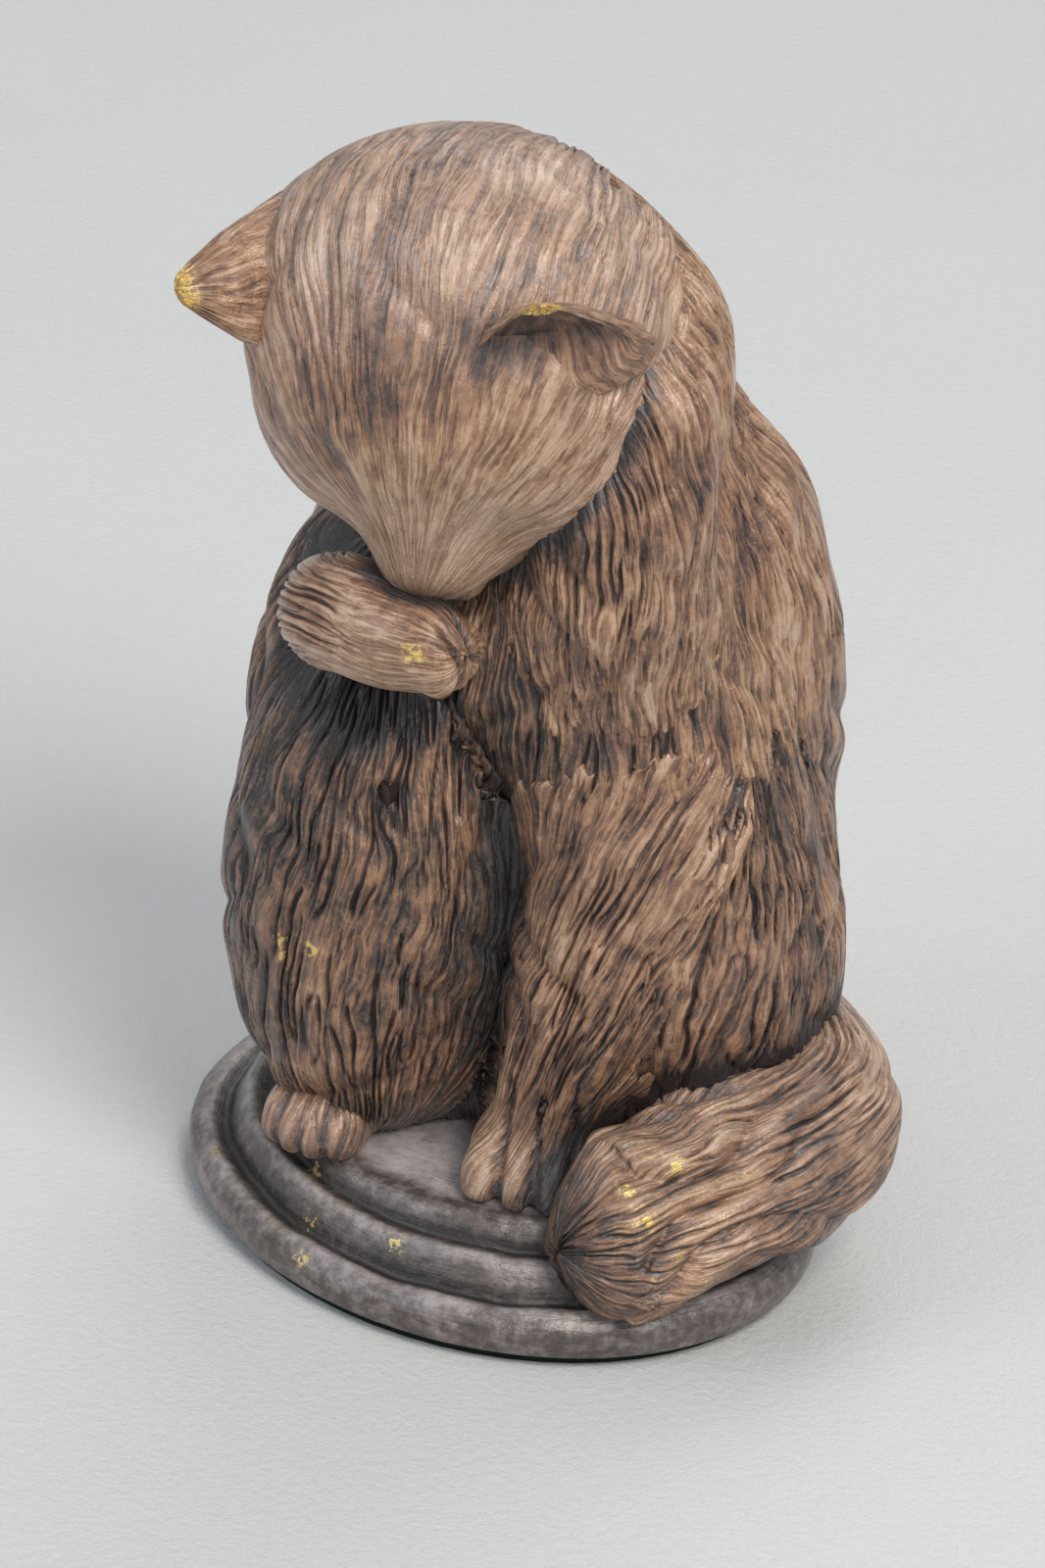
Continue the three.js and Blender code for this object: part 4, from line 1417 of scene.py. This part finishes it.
    def collar(self) -> None:
        """The neck, the ruff and the nape, whose hair falls over the shoulders."""
        body = self.body
        axis = Path(((3.0, -3.6, 34.0, 1), (1.6, -3.8, 46.0, 1), (-2.0, -3.6, 56.0, 1)))
        smooth = self.cut_out(self.whole(), body.collar(), self.blend, axis, (150, 44), (740, 134))
        carved = Fur(13, sway=1.8).carve(smooth, locks=body.locks.body(smooth.points))
        skin = self.dressed(carved, 33, 0.68)
        gap, height = np.maximum(self.face.distance(skin.points), 0.0), skin.points[..., 2]
        beside = bell(gap, 5.0) * smoothstep(DECK + 48, DECK + 56, height)
        under = smoothstep(DECK + 54, DECK + 47, height)
        skin.values["rub_and_shading"] += 0.14 * beside
        # Painted shade below the cheek, close under the face.
        skin.values["rub_and_shading"] -= 0.12 * under * bell(gap, 3.6)
        skin.values["groove"] *= 1 - 0.35 * beside
        # Painted shade where the face and the raised leg come close.
        paint_contact_shade(skin, (self.face, self.raised.form()), 1.0)
        place_piece(skin, "collar", self.finish)

    def haunch(self) -> None:
        """The right haunch, which stands in front of the trunk like a second body."""
        body = self.body
        whole = Blend(self.haunch_blend, (body.trunk(), body.right_haunch))
        axis = Path(((-9.6, -1.8, 0, 1), (-9.7, -2.0, 11, 1), (-9.7, -2.4, 22.0, 1)))
        smooth = self.cut_out(whole, body.right_haunch, self.haunch_blend, axis, (110, 30), (640, 152))
        front = smoothstep(-4, -9, smooth.points[..., 1])
        drift = -0.12 * np.maximum(smooth.run() - 16, 0) * front
        carved = Fur(23, depth=0.40).carve(smooth, 1.0, drift, body.locks.body(smooth.points))
        skin = self.dressed(self.marked(carved), 37, 0.48, 0.32, 0.12)
        # Painted shade on the haunch's outer right side, which faces away from the lamps.
        skin.values["rub_and_shading"] -= 0.16 * smoothstep(-12.0, -17.0, skin.points[..., 0])
        # Painted shade in the cleft by the standing leg and under the raised leg.
        paint_contact_shade(skin, (self.standing.form(), self.raised.form()), 2.6)
        flecked(skin, self.haunch_flecks, 0.4)
        place_piece(skin, "right_haunch", self.finish)

    def flank(self) -> None:
        """The left haunch and thigh, which run into the standing leg."""
        body = self.body
        axis = Path(((11.2, -2.2, 0, 1), (11.2, -2.4, 11, 1), (10.8, -3.4, 22.0, 1)))
        smooth = self.cut_out(self.whole(), body.flank(), self.blend, axis, (110, 30), (660, 148))
        slant, locks = -0.15 * smooth.run(), body.locks.body(smooth.points)
        carved = Fur(27, ridge=1.3, cut=0.14, depth=0.46, sway=1.6).carve(smooth, 1.0, slant, locks)
        skin = self.dressed(self.marked(carved), 39, 0.46, 0.34, 0.1)
        # Painted shade where the tail comes close.
        paint_contact_shade(skin, (self.tail,), 1.6)
        place_piece(skin, "left_flank", self.finish)

    def standing_leg(self) -> None:
        """The left foreleg, straight down to its paw on the deck."""
        body = self.body
        paw = paw_form(*self.standing_paw)
        leg, lower = self.standing.form().grown(self.blend), Path(self.standing.stations[2:]).form()
        whole, own, tuck = (Blend(self.paw_blend, (form, paw)) for form in (self.whole(), leg, lower))
        smooth = Skin.along(Common(whole, own), self.standing, 180, 110, 0, TO_BACK).finer(460, 210)
        smooth = tucked(smooth, tuck, self.blend, self.standing.centres())
        height = smooth.points[..., 2] - DECK
        cover = smooth.near(self.pin_end, 2.2)
        strength = (0.14 + 0.86 * smoothstep(4.0, 10, height)) * (1 - 0.7 * cover)
        locks = smoothstep(6, 14, height) * body.locks.body(smooth.points) + 0.45 * cover
        carved = Fur(41, depth=0.34).carve(smooth, strength, -0.28 * smooth.run(), locks)
        skin = self.dressed(toed(self.marked(carved), *self.standing_paw, 0.4), 43, 0.62, 0.26, 0.1)
        toes, sole = 1 - smoothstep(1.5, 7, height), 1 - smoothstep(0.2, 1.8, height)
        skin.values["rub_and_shading"] += 0.5 * toes - 0.3 * sole
        skin.values["dust_and_sheen"] = 0.6 * skin.values["dust_and_sheen"]
        # Painted shade in the cleft by the right haunch and where the tail comes close.
        paint_contact_shade(skin, (body.right_haunch,), 1.9)
        paint_contact_shade(skin, (self.tail,), 0.8)
        place_piece(skin, "standing_leg", self.finish, ["standing_foreleg"])

    def raised_leg(self) -> None:
        """The right foreleg, lifted so that the paw is at the mouth."""
        form = Blend(0.8, (self.raised.form(), paw_form(*self.raised_paw)))
        smooth = Skin.along(form, self.raised, 160, 60, 22, UPWARDS, 16).finer(400, 220)
        run = smooth.run()
        strength = 1 - 0.85 * smoothstep(0.55, 0.8, run / run.max())
        carved = Fur(53, depth=0.26, sway=0.8).carve(smooth, strength, locks=sunk(run, 1.6))
        skin = self.dressed(toed(carved, *self.raised_paw, 0.3), 59, 0.76, 0.26, 0.1)
        # Painted shade where the face and the right haunch come close.
        paint_contact_shade(skin, (self.face, self.body.right_haunch), 1.0)
        flecked(skin, self.paw_flecks, 0.55)
        place_piece(skin, "raised_leg", self.finish, ["raised_foreleg"])

    def foot(self, name: str, paw: tuple, seed: int, node: str) -> None:
        """A hind foot: a paw on the deck with its toes, cut flat below.

        Args:
            name: the piece's name.
            paw: centre, half sizes, heading and toes.
            seed: which patches.
            node: the CAD node that it stands for.
        """
        down, back = np.array([0, 0, -1.0]), np.array([0, 1.0, 0])
        crown = Skin.about(paw_form(*paw, 1.6), on_deck(paw[0]), down, back, 180, 60)
        points = crown.points[crown.points[..., 2].max(axis=1) > DECK]
        points[..., 2] = np.maximum(points[..., 2], DECK)
        smooth = Skin(points).finer(220, 90)
        carved = toed(Fur(seed, depth=0.16, lock=0.1, sway=0.3).carve(smooth, 0.6), *paw, 0.22)
        skin = self.dressed(carved, seed + 3, 0.74, 0.3, 0.1)
        skin.values["dust_and_sheen"] = 0.5 * skin.values["dust_and_sheen"]
        place_piece(skin, name, self.finish, [node])


@dataclass
class Tail:
    """The tail, wrapped round the cat's left side, with a brush of thick locks at its end.

    Bulge is the share of the round end that is left. Slant points to the side of it that ends sooner.
    """

    finish: bpy.types.Material
    line: Path = Path(
        (
            (4.0, 13.0, 6.6, 4.6),
            (10.6, 11.8, 5.0, 4.9),
            (15.6, 7.2, 4.0, 5.1),
            (18.4, 0.8, 3.9, 5.5),
            (19.4, -5.8, 3.9, 6.0),
            (16.2, -10.8, 3.4, 6.2),
            (11.4, -14.6, 2.6, 6.3),
            (6.6, -17.8, 1.6, 6.0),
        )
    )
    locks: Locks = Locks(9, 0.9)
    bulge: float = 0.6
    slant: Place = (-0.2, 0.3, 0.34)
    flecks: tuple = (
        (7.7, -20.7, 13.7),
        (9.4, -22.1, 12.2),
        (6.9, -21.1, 5.9),
        (10.7, -19.0, 14.8),
        (24.0, -6.0, 12.6),
    )

    def end(self) -> tuple[Array, Array]:
        """The last point of the line and the way that it runs there, as a unit vector."""
        line = self.line.centres(60)
        return line[-1], unit(line[-1] - line[-2])

    def blunt(self, skin: Skin, locks: Array) -> Skin:
        """Presses the round end back to a blunt one and pulls its locks to uneven lengths.

        What lies past the last station keeps only a share of its way beyond, and the top and one side end
        sooner. The last few millimetres are moved along the tail by the locks' height and by noise.

        Args:
            skin: the smooth skin with a round end.
            locks: height of the locks in millimetres.

        Returns:
            The skin with a blunt end.
        """
        end, ahead = self.end()
        beyond = (skin.points - end) @ ahead
        sooner = np.maximum((skin.points - end) @ np.array(self.slant), 0.0) * smoothstep(-9.0, 0.0, beyond)
        ragged = 0.7 * locks + 0.35 * Noise(79).at(skin.points, (2.0, 2.0, 2.0))
        rim = smoothstep(-3.0, -0.5, beyond) * smoothstep(4.0, 1.5, beyond)
        change = ragged * rim - sooner - (1 - self.bulge) * np.maximum(beyond, 0.0)
        return Skin(skin.points + change[..., None] * ahead)

    def relief(self, skin: Skin) -> Array:
        """The locks of the brush, counted round the tail from its upper side, which fade past its end.

        Args:
            skin: the smooth skin.

        Returns:
            Heights in millimetres.
        """
        middle = skin.points.mean(axis=1, keepdims=True)
        ahead = unit(np.gradient(middle, axis=0))
        top = unit(np.array([0, 0, 1.0]) - ahead[..., 2:] * ahead)
        out = skin.points - middle
        turn = np.arctan2(np.sum(out * np.cross(ahead, top), axis=-1), np.sum(out * top, axis=-1))
        run = skin.run()
        strength = np.clip((run / run.max() - 0.35) / 0.35, 0, 1)
        end, onward = self.end()
        beyond = (skin.points - end) @ onward
        return strength * smoothstep(2.6, 0.0, beyond) * self.locks.at(turn, run)

    def build(self) -> None:
        """Makes the tail."""
        smooth = Skin.along(self.line.form(30), self.line, 90, 70, FAN, UPWARDS, 12).finer(430, 225)
        run = smooth.run()
        share = run / run.max()
        root, end = smoothstep(0.42, 0.3, share), smoothstep(0.5, 0.85, share)
        calm, face = 1 - 0.5 * smoothstep(0.86, 0.96, share), smoothstep(0.86, 0.97, share)
        locks = self.relief(smooth) + sunk(run, 1.9)
        carved = Fur(73, depth=0.34, sway=1.4).carve(self.blunt(smooth, locks), calm, locks=locks)
        up = carved.normals()[..., 2]
        # Painted shade where the tail faces down; darker also on its end face.
        carved.values["rub_and_shading"] = rubbed(carved, 77, 0.6, 0.3) - 0.3 * smoothstep(0.0, -0.7, up) - 0.22 * face
        carved.values["dust_and_sheen"] = smoothstep(0.2, 0.8, up) * (0.25 + 0.75 * root)
        carved.values["worn"] = 0.05 + 0.5 * end * smoothstep(0.0, 0.4, locks)
        flecked(carved, self.flecks, 0.45)
        place_piece(carved, "tail_brush", self.finish, ["tail"])


class Feature(Enum):
    """A small form on the right of the face, and mirrored on the left: a soft ridge or furrow along a line.

    Each has the line's two ends as right, forward and up from the head's centre, a width and a height.
    """

    CLOSED_EYE = ((2.9, 7.6, 2.6), (7.4, 3.6, 3.4), 0.55, -0.5)
    BROW = ((2.6, 6.2, 5.2), (7.6, 2.4, 5.8), 1.1, 0.45)
    CHEEK_FOLD = ((3.4, 8.6, 0.8), (7.4, 4.8, 1.0), 1.0, 0.3)
    NOSTRIL = ((1.3, 13.4, -2.4), (2.0, 12.9, -2.9), 0.35, -0.35)
    MOUTH = ((0.3, 13.4, -4.2), (3.2, 11.0, -5.6), 0.4, -0.4)


class Ear(Enum):
    """An ear's root, tip and facing in the head's own axes, its seed and how much painted shade lies in its
    hollow.
    """

    RIGHT = ((9.9, -2.6, 5.2), (13.0, -0.2, 12.0), (0.39, -0.1, -0.9), 97, 0.25)
    LEFT = ((-9.0, -0.3, 6.0), (-11.0, -0.9, 13.3), (-0.25, 0.95, -0.1), 101, 0.9)


@dataclass
class Head:
    """The bowed head: its centre, how it is turned, and its forms as right, forward and up from there.

    The two cheeks named dark and bright are places of painted shade on the right side of the face and of
    painted light on its left side, in the part's frame. An ear is as wide as ear_widths says, in millimetres,
    at the shares of its length in ear_knots.
    """

    finish: bpy.types.Material
    centre: Place = (-7.6, -8.6, 56.4)
    down: float = 56.0
    tilt: float = 15.0
    turn: float = -9.0
    nose: Place = (0.0, 13.0, -3.0)
    middle: Place = (-0.5, 0.5, -7.5)
    face_blend: float = 3.0
    # Middles of painted shade on the right side of the face and of painted light on its left side; cheek is
    # the middle of painted light on the left cheek.
    painted_shade_cheek: Place = (-15.2, -14.9, 60.2)
    painted_light_cheek: Place = (1.0, -16.6, 65.4)
    cheek: Place = (-7.0, 4.5, -2.0)
    hollow: tuple = ((-6.6, 0.6, 8.0), (-10.8, -1.0, 3.8), 1.7, -0.5)
    ear_knots: tuple = (-0.35, 0.05, 0.45, 0.82, 0.95, 1.0)
    ear_widths: tuple = (6.0, 4.7, 3.3, 1.6, 0.95, 0.15)
    body: Body = field(default_factory=Body)
    locks: Locks = Locks(12)
    blend: float = 4.0

    def axes(self) -> Array:
        """The head's own axes: bowed down, tilted about its forward line, and turned.

        Returns:
            Rows: right, forward and up in the part's frame.
        """
        down, tilt, turn = (math.radians(a) for a in (self.down, self.tilt, self.turn))
        forward = Vector((0, -math.cos(down), -math.sin(down)))
        rolled = Matrix.Rotation(turn, 3, "Z") @ Matrix.Rotation(tilt, 3, forward)
        lean = rolled @ Matrix.Rotation(down, 3, "X")
        return np.array([list(lean @ Vector(v)) for v in ((-1, 0, 0), (0, -1, 0), (0, 0, 1))])

    def point(self, place: Sequence[float]) -> Array:
        """A place in the head's own axes as a point in millimetres."""
        return on_deck(self.centre) + np.array(place, float) @ self.axes()

    def turned(self, form: Form) -> Form:
        """A form given in the head's own axes, in the part's frame."""
        axes = tuple(tuple(row) for row in self.axes())
        return Turned(form, tuple(on_deck(self.centre)), axes)

    def face(self) -> Form:
        """Skull, crown, cheeks, muzzle, bridge of the nose and chin run together.

        Returns:
            The form.
        """
        eggs: tuple[Form, ...] = (
            Egg((0.3, -0.6, 0.3), (12.3, 10.6, 9.6)),
            Egg((0.3, -4.6, 1.2), (12.4, 9.0, 9.6)),
            Egg((6.3, 3.4, -2.6), (5.6, 5.9, 5.4)),
            Egg((-6.3, 3.4, -2.6), (5.6, 5.9, 5.4)),
            Egg((0, 9.4, -3.4), (4.7, 4.5, 3.7)),
            Cone((0, 4.5, 3.0), (0, 12.0, -1.4), 4.0, 2.0),
            Egg((0, 8.2, -6.6), (3.1, 3.1, 2.0)),
        )
        return self.turned(Blend(self.face_blend, eggs))

    def form(self) -> Form:
        """The face run into the nape, the mane and the neck, and no further than a little past the face."""
        body, face = self.body, self.face()
        return Common(Blend(self.blend, (face, body.nape, body.mane, body.neck)), face.grown(self.blend))

    def hair(self, local: Array) -> Array:
        """The broad locks of the head, counted round the line to the nose and slight on the face.

        Args:
            local: places in the head's own axes.

        Returns:
            Heights in millimetres.
        """
        out = local - np.array([0, -1.0, 0])
        cosine = out[..., 1] / np.linalg.norm(out, axis=-1)
        polar = np.arccos(np.clip(cosine, -1, 1))
        fade = (1 - cosine**2) * (1 - 0.7 * np.maximum(cosine, 0))
        return fade * self.locks.at(np.arctan2(out[..., 0], out[..., 2]), 12 * polar)

    def relief(self, local: Array) -> Array:
        """The small forms of both sides of the face, and the hollow before the left ear.

        Each is height * exp(-(d / width)^2), where d is the distance to its line.

        Args:
            local: places in the head's own axes.

        Returns:
            The height at each place in millimetres.
        """
        total = np.zeros(local.shape[:-1])
        lines = [(side, *feature.value) for side in (-1.0, 1.0) for feature in Feature]
        for side, low, high, width, height in (*lines, (1.0, *self.hollow)):
            ends = [(side * x, y, z) for x, y, z in (low, high)]
            total = total + height * bell(Cone(*ends, 0.0, 0.0).distance(local), width)
        return total

    def build(self) -> None:
        """Makes the head with its fur running back from the nose."""
        axes = self.axes()
        pole = unit(self.point(self.nose) - self.point(self.middle))
        side = unit(axes[2] - (axes[2] @ pole) * pole)
        smooth = Skin.about(self.form(), self.point(self.middle), pole, side, 180, 100).finer(880, 112)
        smooth = tucked(smooth, self.face(), self.blend, self.point(self.middle)[None])
        local = (smooth.points - on_deck(self.centre)) @ axes.T
        relief = self.relief(local)
        shaped = smooth.pushed(relief)
        forward = local[..., 1]
        edge = smoothstep(0.2, 1.6, self.face().distance(smooth.points))
        strength = 0.2 + 0.5 * smoothstep(11.5, 6.0, forward)
        strength = strength * (0.6 + 0.4 * smoothstep(8, 0, forward)) + 0.3 * edge
        carved = Fur(83, ridge=0.9, depth=0.3, sway=1.8).carve(shaped, strength, locks=self.hair(local))
        carved.values["groove"] *= 0.65 + 0.35 * edge
        # Darker where the relief sinks: the furrows of the eyes, nostrils and mouth, and painted shade in the
        # hollow before the left ear.
        carved.darken(np.clip(-1.6 * relief, 0, 1))
        # Painted light on the left cheek, which faces the lamps.
        cheek = carved.near(self.point(self.cheek), 6.0)
        smudge = bell(local[..., 0], 2.0) * smoothstep(9, 4, forward)
        carved.values["rub_and_shading"] = rubbed(carved, 89, 0.71, 0.16) - 0.16 * smudge + 0.2 * cheek
        carved.values["rub_and_shading"] += 0.22 * smoothstep(6, 11, forward)
        # Painted light on the left side of the face and painted shade on its right side below the ear.
        bright, dark = carved.near(self.painted_light_cheek, 4.0), carved.near(self.painted_shade_cheek, 5.5)
        carved.values["rub_and_shading"] += 0.2 * bright - 0.26 * dark
        # Paler towards the back and top of the head: dust with painted sheen where the light falls from
        # above.
        carved.values["dust_and_sheen"] = 0.42 * smoothstep(6, -4, forward) * (1 - edge)
        carved.values["worn"] = np.full(forward.shape, 0.05)
        place_piece(carved, "head", self.finish, ["head_casting"])

    def ear(self, ear: Ear) -> None:
        """An ear: a broad leaf from root to tip, hollow on the side that it faces.

        For the way round u and the way up v, the outer face is w(v)(cos u, d sin u) and the inner face is
        pressed in by a bowl that fades at the rim.

        Args:
            ear: which of the two.
        """
        root, tip, facing, seed, dark = ear.value
        start, end = self.point(root), self.point(tip)
        length = float(np.linalg.norm(end - start))
        z = (end - start) / length
        y = np.array(facing, float) @ self.axes()
        y = unit(y - (y @ z) * z)
        x = np.cross(y, z)
        rows, columns = 90, 160
        v = np.linspace(self.ear_knots[0], self.ear_knots[-1], rows)[:, None]
        u = (2 * math.pi * np.arange(columns) / columns)[None, :]
        w = np.interp(v[:, 0], self.ear_knots, self.ear_widths)[:, None]
        bowl = smoothstep(0.0, 0.6, np.sin(u)) * smoothstep(-0.15, 0.2, v) * smoothstep(1.0, 0.8, v)
        out = 0.48 * w * np.sin(u) * (1 - bowl) - 0.08 * w * bowl
        across = w * np.cos(u)
        rise = v * length * np.ones_like(u)
        skin = Skin(start + across[..., None] * x + out[..., None] * y + rise[..., None] * z)
        carved = Fur(seed, depth=0.14, lock=0.1, sway=0.5).carve(skin, 0.6)
        carved.values["groove"] *= 0.6
        # Painted shade in the ear's hollow.
        carved.darken(dark * bowl)
        tip_share = smoothstep(0.78, 0.94, v) * np.ones_like(u)
        carved.values["rub_and_shading"] = 0.72 + 0.3 * tip_share
        carved.values["dust_and_sheen"] = np.zeros(tip_share.shape)
        carved.values["worn"] = 0.05 + 3.0 * tip_share
        place_piece(carved, f"{ear.name.lower()}_ear", self.finish)

    def tongue(self) -> None:
        """The tip of the tongue, between the mouth and the paw."""
        at, half = (-0.8, 11.0, -6.2), (1.7, 2.6, 1.0)
        _, forward, up = self.axes()
        skin = Skin.about(self.turned(Egg(at, half)), self.point(at), forward, up, 60, 40)
        shape = skin.points.shape[:2]
        levels = {"groove": 0.0, "tone": 0.0, "rub_and_shading": 0.75, "dust_and_sheen": 0.0, "worn": 0.1}
        skin.values = {key: np.full(shape, level) for key, level in levels.items()}
        place_piece(skin, "tongue", self.finish)


@dataclass
class Base:
    """The oval base: three soft steps from the rim to the flat top.

    Steps are the outline's inset from the rim and height over the felt. Dips and crests are the insets of the
    dark furrows and of the edges, which carry painted highlight and rubbed gold, with their widths.
    """

    finish: bpy.types.Material
    long: float = 45.0
    short: float = 39.4
    turn: float = 134.5
    felt: float = 1.0
    high: float = 6.2
    dips: tuple = ((2.4, 0.55), (5.3, 0.5))
    crests: tuple = ((1.1, 0.5), (3.9, 0.45))
    flecks: tuple = (
        (-18.8, -3.6, 3.8),
        (-12.4, -8.2, 5.6),
        (-12.2, -11.9, 4.0),
        (-12.5, -15.0, 3.0),
        (-6.5, -15.5, 5.1),
    )
    steps: tuple = (
        (0.25, 0.0),
        (0.0, 0.9),
        (0.15, 1.9),
        (1.2, 2.75),
        (2.45, 2.35),
        (2.95, 3.3),
        (3.9, 4.65),
        (5.2, 4.35),
        (5.7, 5.2),
        (6.5, 6.0),
        (7.6, 6.2),
    )

    def build(self) -> None:
        """Makes the base: the step outline carried round an oval, with a modeller's unevenness."""
        profile = resample(np.array(self.steps, float), 90, 0, False)
        mean = (self.long + self.short) / 4
        flat = np.stack([np.linspace(7.7, mean - 0.4, 40), np.full(40, self.high)], -1)
        profile = np.vstack([[[mean - 0.5, 0.0], [6.0, 0.0], [1.5, 0.0]], profile, flat])
        columns = 400
        inset, height = profile[:, :1], profile[:, 1:]
        turn = 2 * math.pi * np.arange(columns)[None, :] / columns
        circle = (mean - inset) * np.cos(turn), (mean - inset) * np.sin(turn)
        ring = np.stack(np.broadcast_arrays(*circle, height), -1)
        broad = Noise(111).at(ring, (8, 8, 3))
        small = Noise(113).at(ring, (1.6, 1.6, 0.8))
        edge = smoothstep(9.5, 7.0, inset) * smoothstep(0.0, 0.6, height)
        top = smoothstep(7.0, 8.5, inset) * smoothstep(5.5, 6.1, height)
        lumps = edge * (0.3 * broad + 0.09 * small) - 0.06 * top * np.abs(small)
        radius = mean - inset - 0.3 * edge * np.abs(Noise(117).at(ring, (7, 7, 30)))
        x = radius * self.long / (2 * mean) * np.cos(turn)
        y = radius * self.short / (2 * mean) * np.sin(turn)
        lean = math.radians(self.turn)
        z = self.felt + np.clip(height + np.minimum(lumps, 0.06), 0, self.high)
        east = x * math.cos(lean) - y * math.sin(lean)
        north = x * math.sin(lean) + y * math.cos(lean)
        skin = Skin(np.stack([east, north, z], -1))
        even = np.ones((1, columns))
        dip, crest = (sum(bell(inset - at, w) for at, w in bands) for bands in (self.dips, self.crests))
        patches = smoothstep(0.0, 0.5, Noise(119).at(ring, (3, 3, 3)))
        skin.values["groove"] = np.clip(dip * even - 0.6 * lumps, 0, 1)
        # Dust on the flat top, and painted highlight along the crests of the steps.
        skin.values["dust_and_sheen"] = np.clip(top + 0.5 * edge * crest * even, 0, 1)
        skin.values["worn"] = 0.5 * np.clip(crest * patches, 0, 1)
        flecked(skin, self.flecks, 0.5)
        place_piece(skin, "stepped_base", self.finish, ["base_plinth"])


# The studio


class Lamp(Enum):
    """Where a lamp stands about the cat, how wide it is, its power and its colour, in metres and watts."""

    KEY = ((0.24, -0.42, 0.56), 0.34, 3.7, (1.0, 0.97, 0.92))
    WINDOW = ((-0.50, -0.30, 0.40), 0.34, 1.1, (0.80, 0.89, 1.0))
    BACK = ((0.12, 0.42, 0.55), 0.40, 1.3, (1.0, 1.0, 1.0))


@dataclass(frozen=True)
class Studio:
    """The floor, the backdrop, the lamps and the camera.

    Target, distance and the lens are in millimetres, angles in degrees. The floor is in metres: its reach to
    either side and to the front, where it bends up, the bend's radius and the wall's height.
    """

    target: Place = (-0.99, 0.0, 30.77)
    distance: float = 380.0
    pitch: float = 27.5
    roll: float = 5.0
    lens: float = 136.0
    sensor: float = 36.0
    grey: Place = (0.64, 0.64, 0.635)
    reach: float = 1.6
    bend: float = 0.9
    radius: float = 0.5
    wall: float = 1.8
    aim: Place = (0, 0, 0.035)
    sky: Place = (0.93, 0.96, 1.0)
    sky_strength: float = 0.54

    def camera(self) -> None:
        """Puts the camera where the photograph was taken from."""
        pitch, roll = math.radians(self.pitch), math.radians(self.roll)
        back = Vector((0, -math.cos(pitch), math.sin(pitch)))
        level = Vector((1, 0, 0))
        above = back.cross(level)
        right = math.cos(roll) * level + math.sin(roll) * above
        up = math.cos(roll) * above - math.sin(roll) * level
        data = bpy.data.cameras.new("view")
        data.lens, data.sensor_width, data.sensor_fit = self.lens, self.sensor, "AUTO"
        data.clip_start, data.clip_end = 0.02, 20.0
        camera = bpy.data.objects.new("view", data)
        bpy.context.scene.collection.objects.link(camera)
        place = (Vector(self.target) + back * self.distance) * MM
        turn = Matrix((right, up, back)).transposed().to_4x4()
        camera.matrix_world = Matrix.Translation(place) @ turn
        bpy.context.scene.camera = camera

    def floor(self) -> None:
        """A floor that rises into a backdrop: z = 0 in front, then a quarter circle up to a wall."""
        angle = np.linspace(0, math.pi / 2, 16)
        back = self.bend + self.radius
        y = np.concatenate([[-self.reach], self.bend + self.radius * np.sin(angle), [back]])
        z = np.concatenate([[0.0], self.radius * (1 - np.cos(angle)), [self.wall]])
        x = np.array([-self.reach, self.reach])
        grid = np.stack(np.broadcast_arrays(x[None, :], y[:, None], z[:, None]), -1).reshape(-1, 3)
        faces = [(2 * k, 2 * k + 1, 2 * k + 3, 2 * k + 2) for k in range(len(y) - 1)]
        mesh = bpy.data.meshes.new("floor")
        mesh.from_pydata(grid.tolist(), [], faces)
        mesh.polygons.foreach_set("use_smooth", np.ones(len(faces), bool))
        pale = tuple(0.9 * c for c in self.grey)
        mesh.materials.append(Felt("pale_felt", pale, self.grey, 0.55).build())
        floor = bpy.data.objects.new("floor", mesh)
        bpy.context.scene.collection.objects.link(floor)

    def lamps(self) -> None:
        """Three soft lamps and an even sky."""
        for lamp in Lamp:
            place, size, power, colour = lamp.value
            data = bpy.data.lights.new(lamp.name.lower(), "AREA")
            data.shape, data.size, data.energy, data.color = "DISK", size, power, colour
            shade = bpy.data.objects.new(lamp.name.lower(), data)
            shade.location = place
            shade.rotation_euler = (Vector(self.aim) - Vector(place)).to_track_quat("-Z", "Y").to_euler()
            bpy.context.scene.collection.objects.link(shade)
        world = bpy.data.worlds.new("sky")
        world.use_nodes = True
        sky = world.node_tree.nodes["Background"]
        sky.inputs["Color"].default_value = (*self.sky, 1)
        sky.inputs["Strength"].default_value = self.sky_strength
        bpy.context.scene.world = world


def carried_over(finishes: dict[str, bpy.types.Material]) -> None:
    """Gives the CAD nodes that stay their material.

    Args:
        finishes: the materials, each under a word that is in its nodes' names.
    """
    for name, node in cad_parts.items():
        for word, material in finishes.items():
            if word in name:
                node.data.materials.clear()
                node.data.materials.append(material)


def main() -> None:
    """Builds the cat, its base and the studio."""
    logging.basicConfig(level=logging.INFO, format="%(message)s")
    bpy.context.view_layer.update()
    bpy.context.scene.view_settings.view_transform = "Standard"
    studio = Studio()
    studio.camera()
    studio.floor()
    studio.lamps()
    fur = FurPatina().build()
    head = Head(fur)
    tail = Tail(fur)
    figure = Figure(fur, head.face(), tail.line.form(16))
    figure.trunk()
    figure.collar()
    figure.haunch()
    figure.flank()
    figure.standing_leg()
    figure.raised_leg()
    figure.foot("right_foot", figure.right_foot, 61, "right_hind_foot")
    figure.foot("left_foot", figure.left_foot, 67, "left_hind_foot")
    tail.build()
    head.build()
    for ear in Ear:
        head.ear(ear)
    head.tongue()
    Base(BasePatina().build()).build()
    steel = BareMetal("plain_steel", (0.5, 0.5, 0.5)).build()
    brass = BareMetal("bare_brass", (0.62, 0.42, 0.16)).build()
    plug = BareMetal("dark_plug", (0.045, 0.03, 0.025), 0.3).build()
    felt = Felt("green_felt", (0.008, 0.014, 0.011), (0.018, 0.032, 0.025)).build()
    carried_over({"screw": steel, "washer": steel, "dowel": brass, "core_plug": plug, "felt_pad": felt})
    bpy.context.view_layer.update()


if __name__ == "__main__":
    main()
